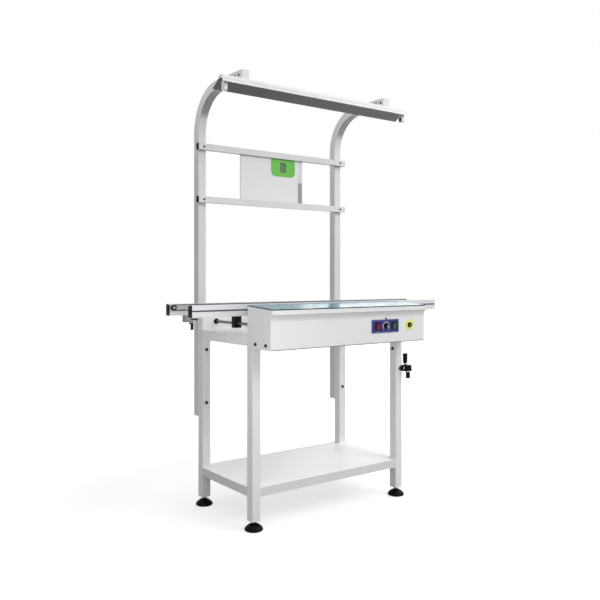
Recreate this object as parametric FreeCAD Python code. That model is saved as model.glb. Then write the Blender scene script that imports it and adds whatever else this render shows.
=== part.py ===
import FreeCAD, Part
import math
import os

# Inspection conveyor bench for circuit boards. Millimetres, +Z up, +X along the board flow,
# +Y from the control cabinet to the lamp posts. Origin on the floor, in the middle of the whole bench.

# Frame
frame_length = 822.0
frame_depth = 442.0
tube = 40.0
tube_wall = 2.0
tube_corner = 3.0
foot_height = 39.0
transport_height = 900.0
support_height = 79.0
bed_sheet = 2.0
shelf_top = 171.0
shelf_lip = 36.0
shelf_sheet = 1.5

# Levelling feet
pad_radius = 36.0
pad_base_radius = 30.0
pad_rim = 9.0
pad_height = 28.0
pad_neck_radius = 13.0
stud_radius = 6.0
stud_length = 78.0
foot_nut_flats = 19.0
foot_nut_height = 8.0

# Lamp posts and crossbars
post_bottom = 390.0
post_top = 1848.0
post_bend = 160.0
post_reach = 400.0
post_bolt_low = 65.0
post_bolt_high = 84.0
bar_depth = 20.0
bar_height = 28.0
bar_wall = 2.0
bar_overhang = 7.0
bar_below_bend = 47.0
bar_plug = 10.0

# Document pocket
pocket_width = 356.0
pocket_window = 206.0
pocket_offset = -21.0
pocket_sheet = 1.0
pocket_tuck = 10.0
tab_width = 140.0
tab_height = 84.0
tab_offset = 64.0
tab_sheet = 0.6
tab_corner = 26.0

# Lamp
lamp_length = 1018.0
batten_width = 26.0
batten_height = 11.0
batten_wall = 1.2
reflector_flat = 24.0
reflector_front_width = 28.0
reflector_front_drop = 17.0
reflector_rear_width = 62.0
reflector_rear_drop = 31.0
reflector_sheet = 1.2
holder_width = 22.0
holder_thickness = 16.0
holder_drop = 50.0
holder_neck = 8.0
holder_neck_width = 12.0
holder_inset = 12.0
lamp_screw_spacing = 32.0

# Cabinet
cabinet_overhang = 147.0
cabinet_side_gap = 2.0
cabinet_drop = 47.0
cabinet_sheet = 2.0
cabinet_flange = 20.0
cabinet_rail_gap = 2.0
top_slope_drop = 11.4
lip_height = 16.6
cove_height = 29.0
cove_depth = 13.0
floor_lip = 30.0
mat_thickness = 4.0
mat_below_rail = 4.0
mat_margin = 1.5

# Front controls
panel_inset = 232.0
panel_width = 158.0
panel_height = 57.0
panel_rise = 72.5
panel_sheet = 1.5
switch_spacing = 95.0
switch_width = 26.0
switch_height = 29.0
switch_depth = 32.0
bezel_margin = 2.5
bezel_thickness = 2.0
rocker_side_gap = 0.6
rocker_wall = 2.4
rocker_tilt = 8.0
rocker_proud = 4.0
rocker_hollow = 1.6
rocker_back = 9.0
rocker_pivot_depth = 3.0
rocker_pin_radius = 1.5
rocker_pin_length = 1.4
knob_radius = 14.0
knob_height = 9.0
knob_lift = 0.5
spindle_radius = 3.0
bush_radius = 4.5
potentiometer_radius = 12.0
potentiometer_depth = 11.0
ground_inset = 87.0
ground_disc_radius = 24.5
ground_disc_sheet = 1.0
jack_flange_radius = 11.5
jack_flange = 5.0
jack_body_radius = 6.0
jack_body_length = 24.0
jack_bore_radius = 2.0
jack_bore_depth = 16.0

# Rails and belts
rail_length = 1324.0
rail_depth = 30.0
rail_height = 46.0
rail_setback = 31.0
rail_gap = 157.0
rail_recess = 12.0
recess_height = 28.0
slot_mouth = 6.0
slot_width = 15.0
slot_lip = 2.0
slot_depth = 7.0
slot_rise = 24.0
end_plate = 2.0
belt_drop = 3.0
belt_thickness = 2.6
belt_width = 6.0
belt_offset = 1.5
ledge_thickness = 4.0
ledge_gap = 0.3
pulley_inset = 22.0
end_pulley_radius = 9.0
idler_radius = 6.0
drive_pulley_radius = 14.0
pulley_flange = 2.0
pulley_flange_width = 1.2
axle_radius = 3.0
axle_length = 9.0

# Drive and width adjustment
drive_x = -120.0
drive_drop = 18.0
drive_hex = 10.0
drive_hub_radius = 9.0
drive_bracket_width = 48.0
journal_radius = 4.0
coupling_radius = 12.0
coupling_length = 26.0
motor_shaft_radius = 5.0
gearbox_width = 60.0
gearbox_depth = 32.0
motor_radius = 30.0
motor_length = 70.0
motor_plate = 3.0
motor_plate_margin = 5.0
guide_inset = 69.0
guide_drop = 42.0
guide_radius = 6.0
support_width = 40.0
carriage_width = 34.0
carriage_depth = 24.0
carriage_flange_width = 56.0
carriage_flange = 9.0
carriage_below_shaft = 19.0
screw_inset = 228.0
screw_drop = 23.0
screw_radius = 6.0
screw_block_width = 40.0
screw_block_below = 16.0
screw_hex = 5.4
screw_hex_depth = 14.0
screw_behind_face = 8.0
access_hole_radius = 3.5
beam_inset = 0.5
beam_clearance = 6.0
beam_wall = 3.0
flange_radius = 12.0
flange_thickness = 4.0
drive_flange_radius = 11.0

# Electrics in the cabinet
controller_inset = 111.0
controller_width = 110.0
controller_depth = 60.0
controller_height = 55.0
inlet_inset = 91.0
inlet_width = 48.0
inlet_depth = 28.0
inlet_height = 26.0
inlet_flange = 2.5
inlet_flange_margin = 3.0
inlet_socket_margin = 4.0
inlet_socket_depth = 18.0

# Sensor under the rails
sensor_inset = 15.0
sensor_setback = 20.0
sensor_head_offset = -5.0
sensor_width = 9.5
sensor_depth = 9.5
sensor_height = 28.0
sensor_flange = 6.0
sensor_bracket_width = 30.0
sensor_bracket_depth = 20.0
sensor_bracket = 19.0
reflector_block_inset = 82.0
reflector_block_width = 22.0
reflector_block_height = 29.0

# Width crank and its holder
crank_out = 25.0
crank_forward = 14.0
crank_rest_height = 583.0
holder_lug = 8.0
holder_lug_radius = 18.0
holder_flange = 4.0
holder_flange_out = 8.0
holder_flange_rise = 19.0
holder_tip = 6.0
holder_taper = 16.0
sleeve_radius = 10.0
sleeve_length = 34.0
sleeve_bore_radius = 7.0
sleeve_band = 0.6
sleeve_band_height = 5.0
sleeve_band_drop = 0.5
crank_bit_hex = 5.0
crank_bit_length = 34.0
crank_hub_radius = 17.0
crank_hub_height = 19.0
crank_arm_length = 44.0
crank_arm_turn = 62.0
crank_arm_width = 18.0
crank_arm_height = 14.0
crank_arm_rise = 3.0
grip_pin_radius = 4.0
grip_lift = 5.0
grip_height = 46.0
grip_foot_radius = 10.0
grip_top_radius = 11.4
grip_cap = 4.0

# Fasteners and fits
bolt_radius = 4.0
bolt_head_radius = 7.0
bolt_head = 5.0
screw_shank_radius = 2.5
screw_head_radius = 5.0
screw_head = 2.5
screw_grip = 8.0
hole_gap = 0.2
running_gap = 0.05
free_gap = 0.3
slot_gap = 0.4

# Places worked out from the driving dimensions
V = FreeCAD.Vector
AXIS_X = V(1, 0, 0)
AXIS_Y = V(0, 1, 0)
AXIS_Z = V(0, 0, 1)

knob_reach = cabinet_overhang - cove_depth + panel_sheet + knob_lift + knob_height
front_reach = max(cabinet_overhang, knob_reach)
frame_centre_y = (front_reach - tube) / 2
frame_front = frame_centre_y - frame_depth / 2
frame_rear = frame_centre_y + frame_depth / 2
half_frame = frame_length / 2
leg_x = half_frame - tube / 2
front_leg_y = frame_front + tube / 2
rear_leg_y = frame_rear - tube / 2
panel_x = half_frame - panel_inset
ground_x = half_frame - ground_inset
guide_x = half_frame - guide_inset
screw_x = half_frame - screw_inset
inlet_x = half_frame - inlet_inset
controller_x = controller_inset - half_frame

rail_bottom = transport_height - rail_height
bed_top = rail_bottom - support_height
leg_top = bed_top - bed_sheet

post_rear = frame_rear + tube
post_front_end = post_rear - post_reach
post_run_bottom = post_top - tube
bend_start = post_run_bottom - post_bend
upper_bar_top = bend_start - bar_below_bend
upper_bar_bottom = upper_bar_top - bar_height
lower_bar_top = upper_bar_bottom - pocket_window
lower_bar_bottom = lower_bar_top - bar_height
bar_front = frame_rear - bar_depth
bar_centre_y = frame_rear - bar_depth / 2
half_bar = half_frame + bar_overhang
post_bolt_heights = (post_bottom + post_bolt_low, leg_top - post_bolt_high)

lamp_y = post_front_end
batten_bottom = post_run_bottom - batten_height

front_rail_outer = frame_front + rail_setback
front_rail_inner = front_rail_outer + rail_depth
rear_rail_inner = front_rail_inner + rail_gap
rear_rail_outer = rear_rail_inner + rail_depth
rail_body = rail_depth - rail_recess
recess_bottom = transport_height - recess_height
half_profile = rail_length / 2 - end_plate
pulley_x = half_profile - pulley_inset
pulley_z = transport_height - belt_drop - belt_thickness - free_gap - end_pulley_radius
idler_z = pulley_z - end_pulley_radius - idler_radius - 2 * free_gap - belt_thickness
idler_shift = drive_pulley_radius + idler_radius + 2 * free_gap + belt_thickness
drive_z = rail_bottom - drive_drop
shaft_z = rail_bottom - guide_drop
screw_z = rail_bottom - screw_drop

cabinet_lip = frame_front - cabinet_overhang
cabinet_face = cabinet_lip + cove_depth
cabinet_rear = front_rail_outer - cabinet_rail_gap
cabinet_bottom = leg_top - cabinet_drop
top_rear_z = transport_height - mat_below_rail - mat_thickness
top_front_z = top_rear_z - top_slope_drop
lip_bottom = top_front_z - lip_height
cove_bottom = lip_bottom - cove_height
cove_radius = (cove_depth ** 2 + cove_height ** 2) / (2 * cove_depth)
top_slope = top_slope_drop / (cabinet_rear - cabinet_lip)
cabinet_inner = half_frame + cabinet_side_gap
cabinet_outer = cabinet_inner + cabinet_sheet
floor_bottom = cabinet_bottom + cabinet_sheet
floor_top = floor_bottom + cabinet_sheet
face_back = cabinet_face + cabinet_sheet

panel_front = cabinet_face - panel_sheet
panel_z = cabinet_bottom + panel_rise
bezel_front = panel_front - bezel_thickness
rocker_pivot_y = bezel_front + rocker_pivot_depth
switch_xs = (screw_x - switch_spacing / 2, screw_x + switch_spacing / 2)

support_beam_front = frame_rear - tube
support_beam_top = rail_bottom - beam_clearance
flange_front = support_beam_front - flange_thickness
motor_plate_front = frame_front - motor_plate - (coupling_length - rail_setback / 2)
crank_x = half_frame + crank_out
crank_y = frame_front - crank_forward
grip_x = crank_x + crank_arm_length * math.cos(math.radians(crank_arm_turn))
grip_y = crank_y + crank_arm_length * math.sin(math.radians(crank_arm_turn))
arm_bottom = crank_rest_height + crank_arm_rise
arm_top = arm_bottom + crank_arm_height
grip_bottom = arm_top + grip_lift


def box(x0, x1, y0, y1, z0, z1):
    return Part.makeBox(x1 - x0, y1 - y0, z1 - z0, V(x0, y0, z0))


def rod(radius, start, end):
    along = end.sub(start)
    return Part.makeCylinder(radius, along.Length, start, along)


def rod_y(radius, x, z, y0, y1):
    return rod(radius, V(x, y0, z), V(x, y1, z))


def rod_z(radius, x, y, z0, z1):
    return rod(radius, V(x, y, z0), V(x, y, z1))


def polygon_prism(points, along):
    return Part.Face(Part.makePolygon(points + points[:1])).extrude(along)


def hex_prism(flats, start, end, across):
    """Hexagonal bar from start to end; one corner points along the vector across."""
    along = end.sub(start)
    other = FreeCAD.Vector(along).normalize().cross(across)
    corner = flats / math.sqrt(3)
    angles = [math.pi / 3 * i for i in range(6)]
    points = [start + across * (corner * math.cos(a)) + other * (corner * math.sin(a)) for a in angles]
    return polygon_prism(points, along)


def long_edges(shape, axis):
    """The straight edges that run along an axis."""
    def runs_along(edge):
        span = edge.Vertexes[1].Point - edge.Vertexes[0].Point
        return abs(abs(span.dot(axis)) - edge.Length) < 1e-6

    return [e for e in shape.Edges if len(e.Vertexes) == 2 and runs_along(e)]


def square_tube(x0, x1, y0, y1, z0, z1, axis):
    """Tube along an axis, open at both ends, with rounded outer corners."""
    outer = box(x0, x1, y0, y1, z0, z1)
    outer = outer.makeFillet(tube_corner, long_edges(outer, axis))
    inset = (V(1, 1, 1) - axis) * tube_wall
    inner = box(x0 + inset.x, x1 - inset.x, y0 + inset.y, y1 - inset.y, z0 + inset.z, z1 - inset.z)
    return outer.cut(inner)


def circles(shape):
    return [e for e in shape.Edges if isinstance(e.Curve, Part.Circle)]


def bolt(seat, direction, head_radius, head, shank_radius, shank):
    """Screw with its head on the seat and its shank along the direction."""
    direction = FreeCAD.Vector(direction).normalize()
    body = rod(shank_radius, seat, seat + direction * shank)
    cap = rod(head_radius, seat - direction * head, seat)
    rim = [e for e in circles(cap) if (e.Curve.Center - seat).Length > head / 2]
    return cap.makeFillet(head * 0.45, rim).fuse(body)


def frame_bolt(seat, direction, shank):
    return bolt(seat, direction, bolt_head_radius, bolt_head, bolt_radius, shank)


def small_screw(seat, direction, shank):
    return bolt(seat, direction, screw_head_radius, screw_head, screw_shank_radius, shank)


def bolt_hole(seat, direction, depth):
    return rod(bolt_radius + hole_gap, seat, seat + direction * depth)


def screw_hole(seat, direction, depth):
    return rod(screw_shank_radius + hole_gap, seat, seat + direction * depth)


def cut_all(shape, tools):
    return shape.cut(Part.makeCompound(tools)) if tools else shape


def group(solids):
    return Part.makeCompound(solids)


def save(name, shape):
    shape.exportStep("parts/" + name + ".step")


# Seats of the bolts and screws: a point and the direction of the shank

def post_bolt_seats():
    return [V(side * leg_x, support_beam_front, z) for side in (-1, 1) for z in post_bolt_heights]


def front_leg_bolt_seats():
    z = cabinet_bottom - tube - bolt_head_radius
    return [(V(side * (half_frame - tube), front_leg_y, z), V(side, 0, 0)) for side in (-1, 1)]


def bar_screw_seats():
    heights = (upper_bar_bottom + bar_height / 2, lower_bar_bottom + bar_height / 2)
    return [V(side * leg_x, bar_front, z) for side in (-1, 1) for z in heights]


def lamp_screw_seats():
    first = post_front_end + batten_width / 2 + screw_head_radius
    z = post_run_bottom + tube / 2
    return [V(side * leg_x - tube / 2, y, z) for side in (-1, 1) for y in (first, first + lamp_screw_spacing)]


def end_panel_screw_seats():
    places = (face_back + floor_lip, frame_front - floor_lip)
    z = floor_top + floor_lip / 2
    return [(V(side * cabinet_outer, y, z), V(-side, 0, 0)) for side in (-1, 1) for y in places]


def floor_bolt_seats():
    z = leg_top - tube / 2
    return [V(x, frame_front - cabinet_sheet, z) for x in (-guide_x, 0, guide_x)]


# Frame

def legs():
    tubes = []
    for x in (-leg_x, leg_x):
        for y in (front_leg_y, rear_leg_y):
            half = tube / 2
            tubes.append(square_tube(x - half, x + half, y - half, y + half, foot_height, leg_top, AXIS_Z))
    holes = [bolt_hole(seat, AXIS_Y, tube) for seat in post_bolt_seats()]
    holes += [bolt_hole(seat, way, tube_wall) for seat, way in front_leg_bolt_seats()]
    return group([cut_all(leg, holes) for leg in tubes])


def top_beams():
    low = leg_top - tube
    beams = []
    for x0 in (-half_frame, half_frame - tube):
        beams.append(square_tube(x0, x0 + tube, frame_front + tube, frame_rear - tube, low, leg_top, AXIS_Y))
    for y0 in (frame_front, frame_rear - tube):
        beams.append(square_tube(tube - half_frame, half_frame - tube, y0, y0 + tube, low, leg_top, AXIS_X))
    holes = [bolt_hole(seat, AXIS_Y, cabinet_sheet + tube_wall) for seat in floor_bolt_seats()]
    return group([cut_all(beam, holes) for beam in beams])


def bed_plate():
    return box(-half_frame, half_frame, frame_front, frame_rear, leg_top, bed_top)


def shelf_tray():
    low = shelf_top - shelf_lip
    outer = box(-half_frame, half_frame, frame_front, frame_rear, low, shelf_top)
    inner = box(shelf_sheet - half_frame, half_frame - shelf_sheet,
                frame_front + shelf_sheet, frame_rear - shelf_sheet, low, shelf_top - shelf_sheet)
    notches = [box(x0, x0 + tube, y0, y0 + tube, low, shelf_top)
               for x0 in (-half_frame, half_frame - tube) for y0 in (frame_front, frame_rear - tube)]
    return cut_all(outer.cut(inner), notches)


def levelling_foot(x, y):
    """Domed pad and the threaded stud that stands on it."""
    bulge = math.sqrt(0.5)
    base = V(pad_base_radius, 0, 0)
    rim = V(pad_radius, 0, pad_rim)
    shoulder = V(pad_neck_radius, 0, pad_height)
    heel_radius = pad_base_radius + (pad_radius - pad_base_radius) * bulge
    crown_radius = pad_neck_radius + (pad_radius - pad_neck_radius) * bulge
    heel = V(heel_radius, 0, pad_rim * (1 - bulge))
    crown = V(crown_radius, 0, pad_rim + (pad_height - pad_rim) * bulge)
    edges = [
        Part.LineSegment(V(0, 0, 0), base).toShape(),
        Part.Arc(base, heel, rim).toShape(),
        Part.Arc(rim, crown, shoulder).toShape(),
        Part.LineSegment(shoulder, V(0, 0, pad_height)).toShape(),
        Part.LineSegment(V(0, 0, pad_height), V(0, 0, 0)).toShape(),
    ]
    pad = Part.Face(Part.Wire(edges)).revolve(V(0, 0, 0), AXIS_Z, 360)
    pad.translate(V(x, y, 0))
    return group([pad, rod_z(stud_radius, x, y, pad_height, pad_height + stud_length)])


def foot_nuts():
    """A locknut under each leg and the nut plate welded into its end."""
    pieces = []
    for x in (-leg_x, leg_x):
        for y in (front_leg_y, rear_leg_y):
            half = tube / 2 - tube_wall
            thread = rod_z(stud_radius + running_gap, x, y, 0, foot_height + tube)
            leg_end = V(x, y, foot_height)
            locknut = hex_prism(foot_nut_flats, leg_end - AXIS_Z * foot_nut_height, leg_end, AXIS_X)
            plate = box(x - half, x + half, y - half, y + half, foot_height, foot_height + foot_nut_height)
            pieces += [locknut.cut(thread), plate.cut(thread)]
    return group(pieces)


# Lamp posts, crossbars and document pocket

def post_side_face(inset):
    """Side view of the bent post, drawn inset from its outside."""
    rear = post_rear - inset
    front = frame_rear + inset
    top = post_top - inset
    under = post_run_bottom + inset
    end = post_front_end + inset
    low = post_bottom + inset
    centre = V(0, frame_rear - post_bend, bend_start)
    outer_radius = rear - centre.y
    inner_radius = front - centre.y
    diagonal = V(0, math.sqrt(0.5), math.sqrt(0.5))
    edges = [
        Part.LineSegment(V(0, rear, low), V(0, rear, bend_start)).toShape(),
        Part.Arc(V(0, rear, bend_start), centre + diagonal * outer_radius, V(0, centre.y, top)).toShape(),
        Part.LineSegment(V(0, centre.y, top), V(0, end, top)).toShape(),
        Part.LineSegment(V(0, end, top), V(0, end, under)).toShape(),
        Part.LineSegment(V(0, end, under), V(0, centre.y, under)).toShape(),
        Part.Arc(V(0, centre.y, under), centre + diagonal * inner_radius, V(0, front, bend_start)).toShape(),
        Part.LineSegment(V(0, front, bend_start), V(0, front, low)).toShape(),
        Part.LineSegment(V(0, front, low), V(0, rear, low)).toShape(),
    ]
    return Part.Face(Part.Wire(edges))


def lamp_post(side):
    """Square tube bent over the bench, closed at both ends, with its bolt and screw holes."""
    outer = post_side_face(0).extrude(AXIS_X * tube)
    flat_sides = [f for f in outer.Faces if abs(abs(f.normalAt(0, 0).x) - 1) < 1e-6]
    outer = outer.makeFillet(tube_corner, [e for f in flat_sides for e in f.Edges])
    inner = post_side_face(tube_wall).extrude(AXIS_X * (tube - 2 * tube_wall))
    inner.translate(AXIS_X * tube_wall)
    post = outer.cut(inner)
    post.translate(AXIS_X * (side * leg_x - tube / 2))
    holes = [bolt_hole(seat, AXIS_Y, tube + tube_wall) for seat in post_bolt_seats()]
    holes += [screw_hole(seat, AXIS_Y, bar_depth + tube_wall) for seat in bar_screw_seats()]
    holes += [screw_hole(seat, AXIS_X, tube_wall) for seat in lamp_screw_seats()]
    return cut_all(post, holes)


def crossbar(bottom, slot_side):
    """Hollow bar with a slot along one edge, in which the pocket slides."""
    top = bottom + bar_height
    outer = box(-half_bar, half_bar, bar_front, frame_rear, bottom, top)
    inner = box(-half_bar, half_bar, bar_front + bar_wall, frame_rear - bar_wall,
                bottom + bar_wall, top - bar_wall)
    half_slot = pocket_sheet + slot_gap
    edge = top - bar_wall if slot_side > 0 else bottom
    slot = box(-half_bar, half_bar, bar_centre_y - half_slot, bar_centre_y + half_slot, edge, edge + bar_wall)
    holes = [screw_hole(seat, AXIS_Y, bar_depth) for seat in bar_screw_seats()]
    return cut_all(outer.cut(inner).cut(slot), holes)


def crossbars():
    return group([crossbar(upper_bar_bottom, -1), crossbar(lower_bar_bottom, 1)])


def crossbar_plugs():
    plugs = []
    for bottom in (upper_bar_bottom, lower_bar_bottom):
        for side in (-1, 1):
            inner_end = side * (half_bar - bar_plug)
            outer_end = side * half_bar
            cap_end = side * (half_bar + bar_wall)
            core = box(min(inner_end, outer_end), max(inner_end, outer_end), bar_front + bar_wall,
                       frame_rear - bar_wall, bottom + bar_wall, bottom + bar_height - bar_wall)
            cap = box(min(outer_end, cap_end), max(outer_end, cap_end), bar_front, frame_rear,
                      bottom, bottom + bar_height)
            plugs.append(core.fuse(cap))
    return group(plugs)


def document_pocket():
    """Back sheet and clear front sheet of the pocket, standing in the lower bar."""
    x0 = pocket_offset - pocket_width / 2
    x1 = pocket_offset + pocket_width / 2
    low = lower_bar_bottom + bar_wall + free_gap
    high = upper_bar_bottom + pocket_tuck
    back = box(x0, x1, bar_centre_y, bar_centre_y + pocket_sheet, low, high)
    front = box(x0, x1, bar_centre_y - pocket_sheet, bar_centre_y, low, high)
    return group([back, front])


def pocket_tab():
    """Green label with rounded lower corners on the pocket's front sheet."""
    centre = pocket_offset + tab_offset
    y1 = bar_centre_y - pocket_sheet
    high = upper_bar_bottom - slot_gap
    label = box(centre - tab_width / 2, centre + tab_width / 2, y1 - tab_sheet, y1, high - tab_height, high)
    lower = [e for e in long_edges(label, AXIS_Y) if e.Vertexes[0].Z < high - tab_height / 2]
    return label.makeFillet(min(tab_corner, tab_height * 0.45), lower)


# Lamp

def lamp_batten():
    """Slim closed box under the post ends."""
    half = lamp_length / 2
    y0 = lamp_y - batten_width / 2
    y1 = lamp_y + batten_width / 2
    outer = box(-half, half, y0, y1, batten_bottom, post_run_bottom)
    inner = box(batten_wall - half, half - batten_wall, y0 + batten_wall, y1 - batten_wall,
                batten_bottom + batten_wall, post_run_bottom - batten_wall)
    return outer.cut(inner)


def reflector_thickness():
    """Upright thickness of the sheet in the steeper wing."""
    flat = reflector_flat / 2
    wings = (V(0, reflector_front_width - flat, reflector_front_drop),
             V(0, reflector_rear_width - flat, reflector_rear_drop))
    return max(reflector_sheet * wing.Length / wing.y for wing in wings)


def lamp_reflector():
    """Folded sheet under the batten, with a short front wing and a wide rear wing."""
    half = lamp_length / 2
    flat = reflector_flat / 2
    outside = [
        V(-half, lamp_y - reflector_front_width, batten_bottom - reflector_front_drop),
        V(-half, lamp_y - flat, batten_bottom),
        V(-half, lamp_y + flat, batten_bottom),
        V(-half, lamp_y + reflector_rear_width, batten_bottom - reflector_rear_drop),
    ]
    down = AXIS_Z * -reflector_thickness()
    inside = [point + down for point in reversed(outside)]
    return polygon_prism(outside + inside, AXIS_X * lamp_length)


def lamp_holders():
    """Sockets for a tube at both ends of the reflector, with the slot for the tube's pins."""
    sockets = []
    seat = batten_bottom - reflector_thickness()
    shoulder = seat - holder_neck
    low = batten_bottom - holder_drop
    for side in (-1, 1):
        outer_x = side * (lamp_length / 2 - holder_inset)
        inner_x = outer_x - side * holder_thickness
        x0 = min(outer_x, inner_x)
        x1 = max(outer_x, inner_x)
        half = holder_width / 2
        neck_half = holder_neck_width / 2
        neck = box(x0, x1, lamp_y - neck_half, lamp_y + neck_half, shoulder, seat)
        body = box(x0, x1, lamp_y - half, lamp_y + half, low, shoulder)
        body = body.makeFillet(half * 0.8, [e for e in long_edges(body, AXIS_X)])
        face = inner_x - side * holder_thickness * 0.2
        slot = box(min(face, inner_x) - 1, max(face, inner_x) + 1, lamp_y - half / 6, lamp_y + half / 6,
                   low, shoulder - half)
        pocket = slot.common(box(x0, x1, lamp_y - half, lamp_y + half, low, shoulder))
        sockets.append(body.fuse(neck).cut(pocket))
    return group(sockets)


# Cabinet

def cove_point(radius, angle):
    centre_y = cabinet_face - cove_radius
    return V(0, centre_y + radius * math.cos(angle), cove_bottom + radius * math.sin(angle))


def cove_edge(radius, last_angle):
    low, middle, high = [cove_point(radius, last_angle * share) for share in (0, 0.5, 1)]
    return Part.Arc(low, middle, high).toShape()


def top_surface_z(y):
    return top_front_z + (y - cabinet_lip) * top_slope


def outer_cove_angle():
    return math.acos((cove_radius - cove_depth) / cove_radius)


def line(a, b):
    return Part.LineSegment(a, b).toShape()


def lines(points):
    return [line(a, b) for a, b in zip(points, points[1:])]


def panel_cutouts():
    """Openings for the switches, the speed knob's bush, the ground jack and the crank."""
    y0 = panel_front - ground_disc_sheet
    y1 = face_back + cabinet_sheet
    cutouts = []
    for x in switch_xs:
        half_x = switch_width / 2 + hole_gap
        half_z = switch_height / 2 + hole_gap
        cutouts.append(box(x - half_x, x + half_x, y0, y1, panel_z - half_z, panel_z + half_z))
    cutouts.append(rod_y(bush_radius + hole_gap, screw_x, panel_z, y0, y1))
    cutouts.append(rod_y(jack_body_radius + hole_gap, ground_x, panel_z, y0, y1))
    cutouts.append(rod_y(access_hole_radius, screw_x, screw_z, y0, y1))
    return cutouts


def cabinet_front():
    """One folded sheet: bottom flange, front, cove, lip, sloping top and rear flange."""
    s = cabinet_sheet
    inner_angle = math.acos((cove_radius - cove_depth + s) / (cove_radius + s))
    down = s * math.sqrt(1 + top_slope ** 2)
    flange_y = cabinet_face + cabinet_flange
    flange_z = top_rear_z - cabinet_flange
    front = [V(0, flange_y, cabinet_bottom), V(0, cabinet_face, cabinet_bottom), cove_point(cove_radius, 0)]
    over = [
        cove_point(cove_radius, outer_cove_angle()),
        V(0, cabinet_lip, top_front_z),
        V(0, cabinet_rear, top_rear_z),
        V(0, cabinet_rear, flange_z),
        V(0, cabinet_rear - s, flange_z),
        V(0, cabinet_rear - s, top_surface_z(cabinet_rear - s) - down),
        V(0, cabinet_lip + s, top_surface_z(cabinet_lip + s) - down),
        cove_point(cove_radius + s, inner_angle),
    ]
    back = [
        cove_point(cove_radius + s, 0),
        V(0, face_back, floor_bottom),
        V(0, flange_y, floor_bottom),
        front[0],
    ]
    edges = lines(front) + [cove_edge(cove_radius, outer_cove_angle())]
    edges += lines(over) + [cove_edge(cove_radius + s, inner_angle)] + lines(back)
    sheet = Part.Face(Part.Wire(edges)).extrude(AXIS_X * (2 * cabinet_inner))
    sheet.translate(AXIS_X * -cabinet_inner)
    return cut_all(sheet, panel_cutouts())


def cabinet_ends():
    """Flat end panels with the cabinet's side outline."""
    over = [
        cove_point(cove_radius, outer_cove_angle()),
        V(0, cabinet_lip, top_front_z),
        V(0, cabinet_rear, top_rear_z),
        V(0, cabinet_rear, cabinet_bottom),
        V(0, cabinet_face, cabinet_bottom),
        cove_point(cove_radius, 0),
    ]
    edges = [cove_edge(cove_radius, outer_cove_angle())] + lines(over)
    outline = Part.Face(Part.Wire(edges))
    holes = [bolt_hole(seat, way, screw_grip) for seat, way in end_panel_screw_seats()]
    panels = []
    for x in (-cabinet_outer, cabinet_inner):
        panel = outline.extrude(AXIS_X * cabinet_sheet)
        panel.translate(AXIS_X * x)
        panels.append(cut_all(panel, holes))
    return group(panels)


def cabinet_floor():
    """Floor pan with lips at both ends and a rear lip bolted to the front beam."""
    s = cabinet_sheet
    pan = box(-cabinet_inner, cabinet_inner, face_back, frame_front, floor_bottom, floor_top)
    for x in (-cabinet_inner, cabinet_inner - s):
        pan = pan.fuse(box(x, x + s, face_back, frame_front, floor_top, floor_top + floor_lip))
    rear_top = leg_top - tube / 4
    pan = pan.fuse(box(-half_frame, half_frame, frame_front - s, frame_front, floor_top, rear_top))
    holes = [bolt_hole(seat, AXIS_Y, s) for seat in floor_bolt_seats()]
    holes += [bolt_hole(seat, way, screw_grip) for seat, way in end_panel_screw_seats()]
    half_x = inlet_width / 2 + hole_gap
    half_y = inlet_depth / 2 + hole_gap
    y = inlet_y()
    holes.append(box(inlet_x - half_x, inlet_x + half_x, y - half_y, y + half_y, floor_bottom, floor_top))
    return cut_all(pan.removeSplitter(), holes)


def work_mat():
    """Glossy mat on the sloping top."""
    y0 = cabinet_lip + mat_margin
    y1 = cabinet_rear - mat_margin
    x0 = mat_margin - cabinet_inner
    lower = [V(x0, y0, top_surface_z(y0)), V(x0, y1, top_surface_z(y1))]
    raised = [p + AXIS_Z * mat_thickness for p in reversed(lower)]
    return polygon_prism(lower + raised, AXIS_X * (-2 * x0))


# Front controls

def control_panel():
    x0 = panel_x - panel_width / 2
    z0 = panel_z - panel_height / 2
    plate = box(x0, x0 + panel_width, panel_front, cabinet_face, z0, z0 + panel_height)
    plate = plate.makeFillet(panel_sheet * 2, long_edges(plate, AXIS_Y))
    return cut_all(plate, panel_cutouts())


def switch_body(x):
    """Snap-in rocker switch housing with its bezel and the well that the rocker tips in."""
    half_x = switch_width / 2
    half_z = switch_height / 2
    bezel = box(x - half_x - bezel_margin, x + half_x + bezel_margin, bezel_front, panel_front,
                panel_z - half_z - bezel_margin, panel_z + half_z + bezel_margin)
    bezel = bezel.makeFillet(bezel_margin, long_edges(bezel, AXIS_Y))
    housing = box(x - half_x, x + half_x, panel_front, panel_front + switch_depth,
                  panel_z - half_z, panel_z + half_z)
    well_x = half_x - rocker_wall
    well_z = half_z - rocker_wall / 2
    well = box(x - well_x, x + well_x, bezel_front, bezel_front + switch_depth / 2,
               panel_z - well_z, panel_z + well_z)
    middle = V(x, rocker_pivot_y, panel_z)
    pivot = rod(rocker_pin_radius + running_gap, middle - AXIS_X * half_x, middle + AXIS_X * half_x)
    return bezel.fuse(housing).cut(well).cut(pivot)


def potentiometer():
    bush_end = panel_front - bezel_thickness
    body = rod_y(potentiometer_radius, screw_x, panel_z, face_back, face_back + potentiometer_depth)
    bush = rod_y(bush_radius, screw_x, panel_z, bush_end, face_back)
    bore = rod_y(spindle_radius + running_gap, screw_x, panel_z, bush_end, face_back + potentiometer_depth)
    return body.fuse(bush).cut(bore)


def switch_bodies():
    return group([switch_body(x) for x in switch_xs] + [potentiometer()])


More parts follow.
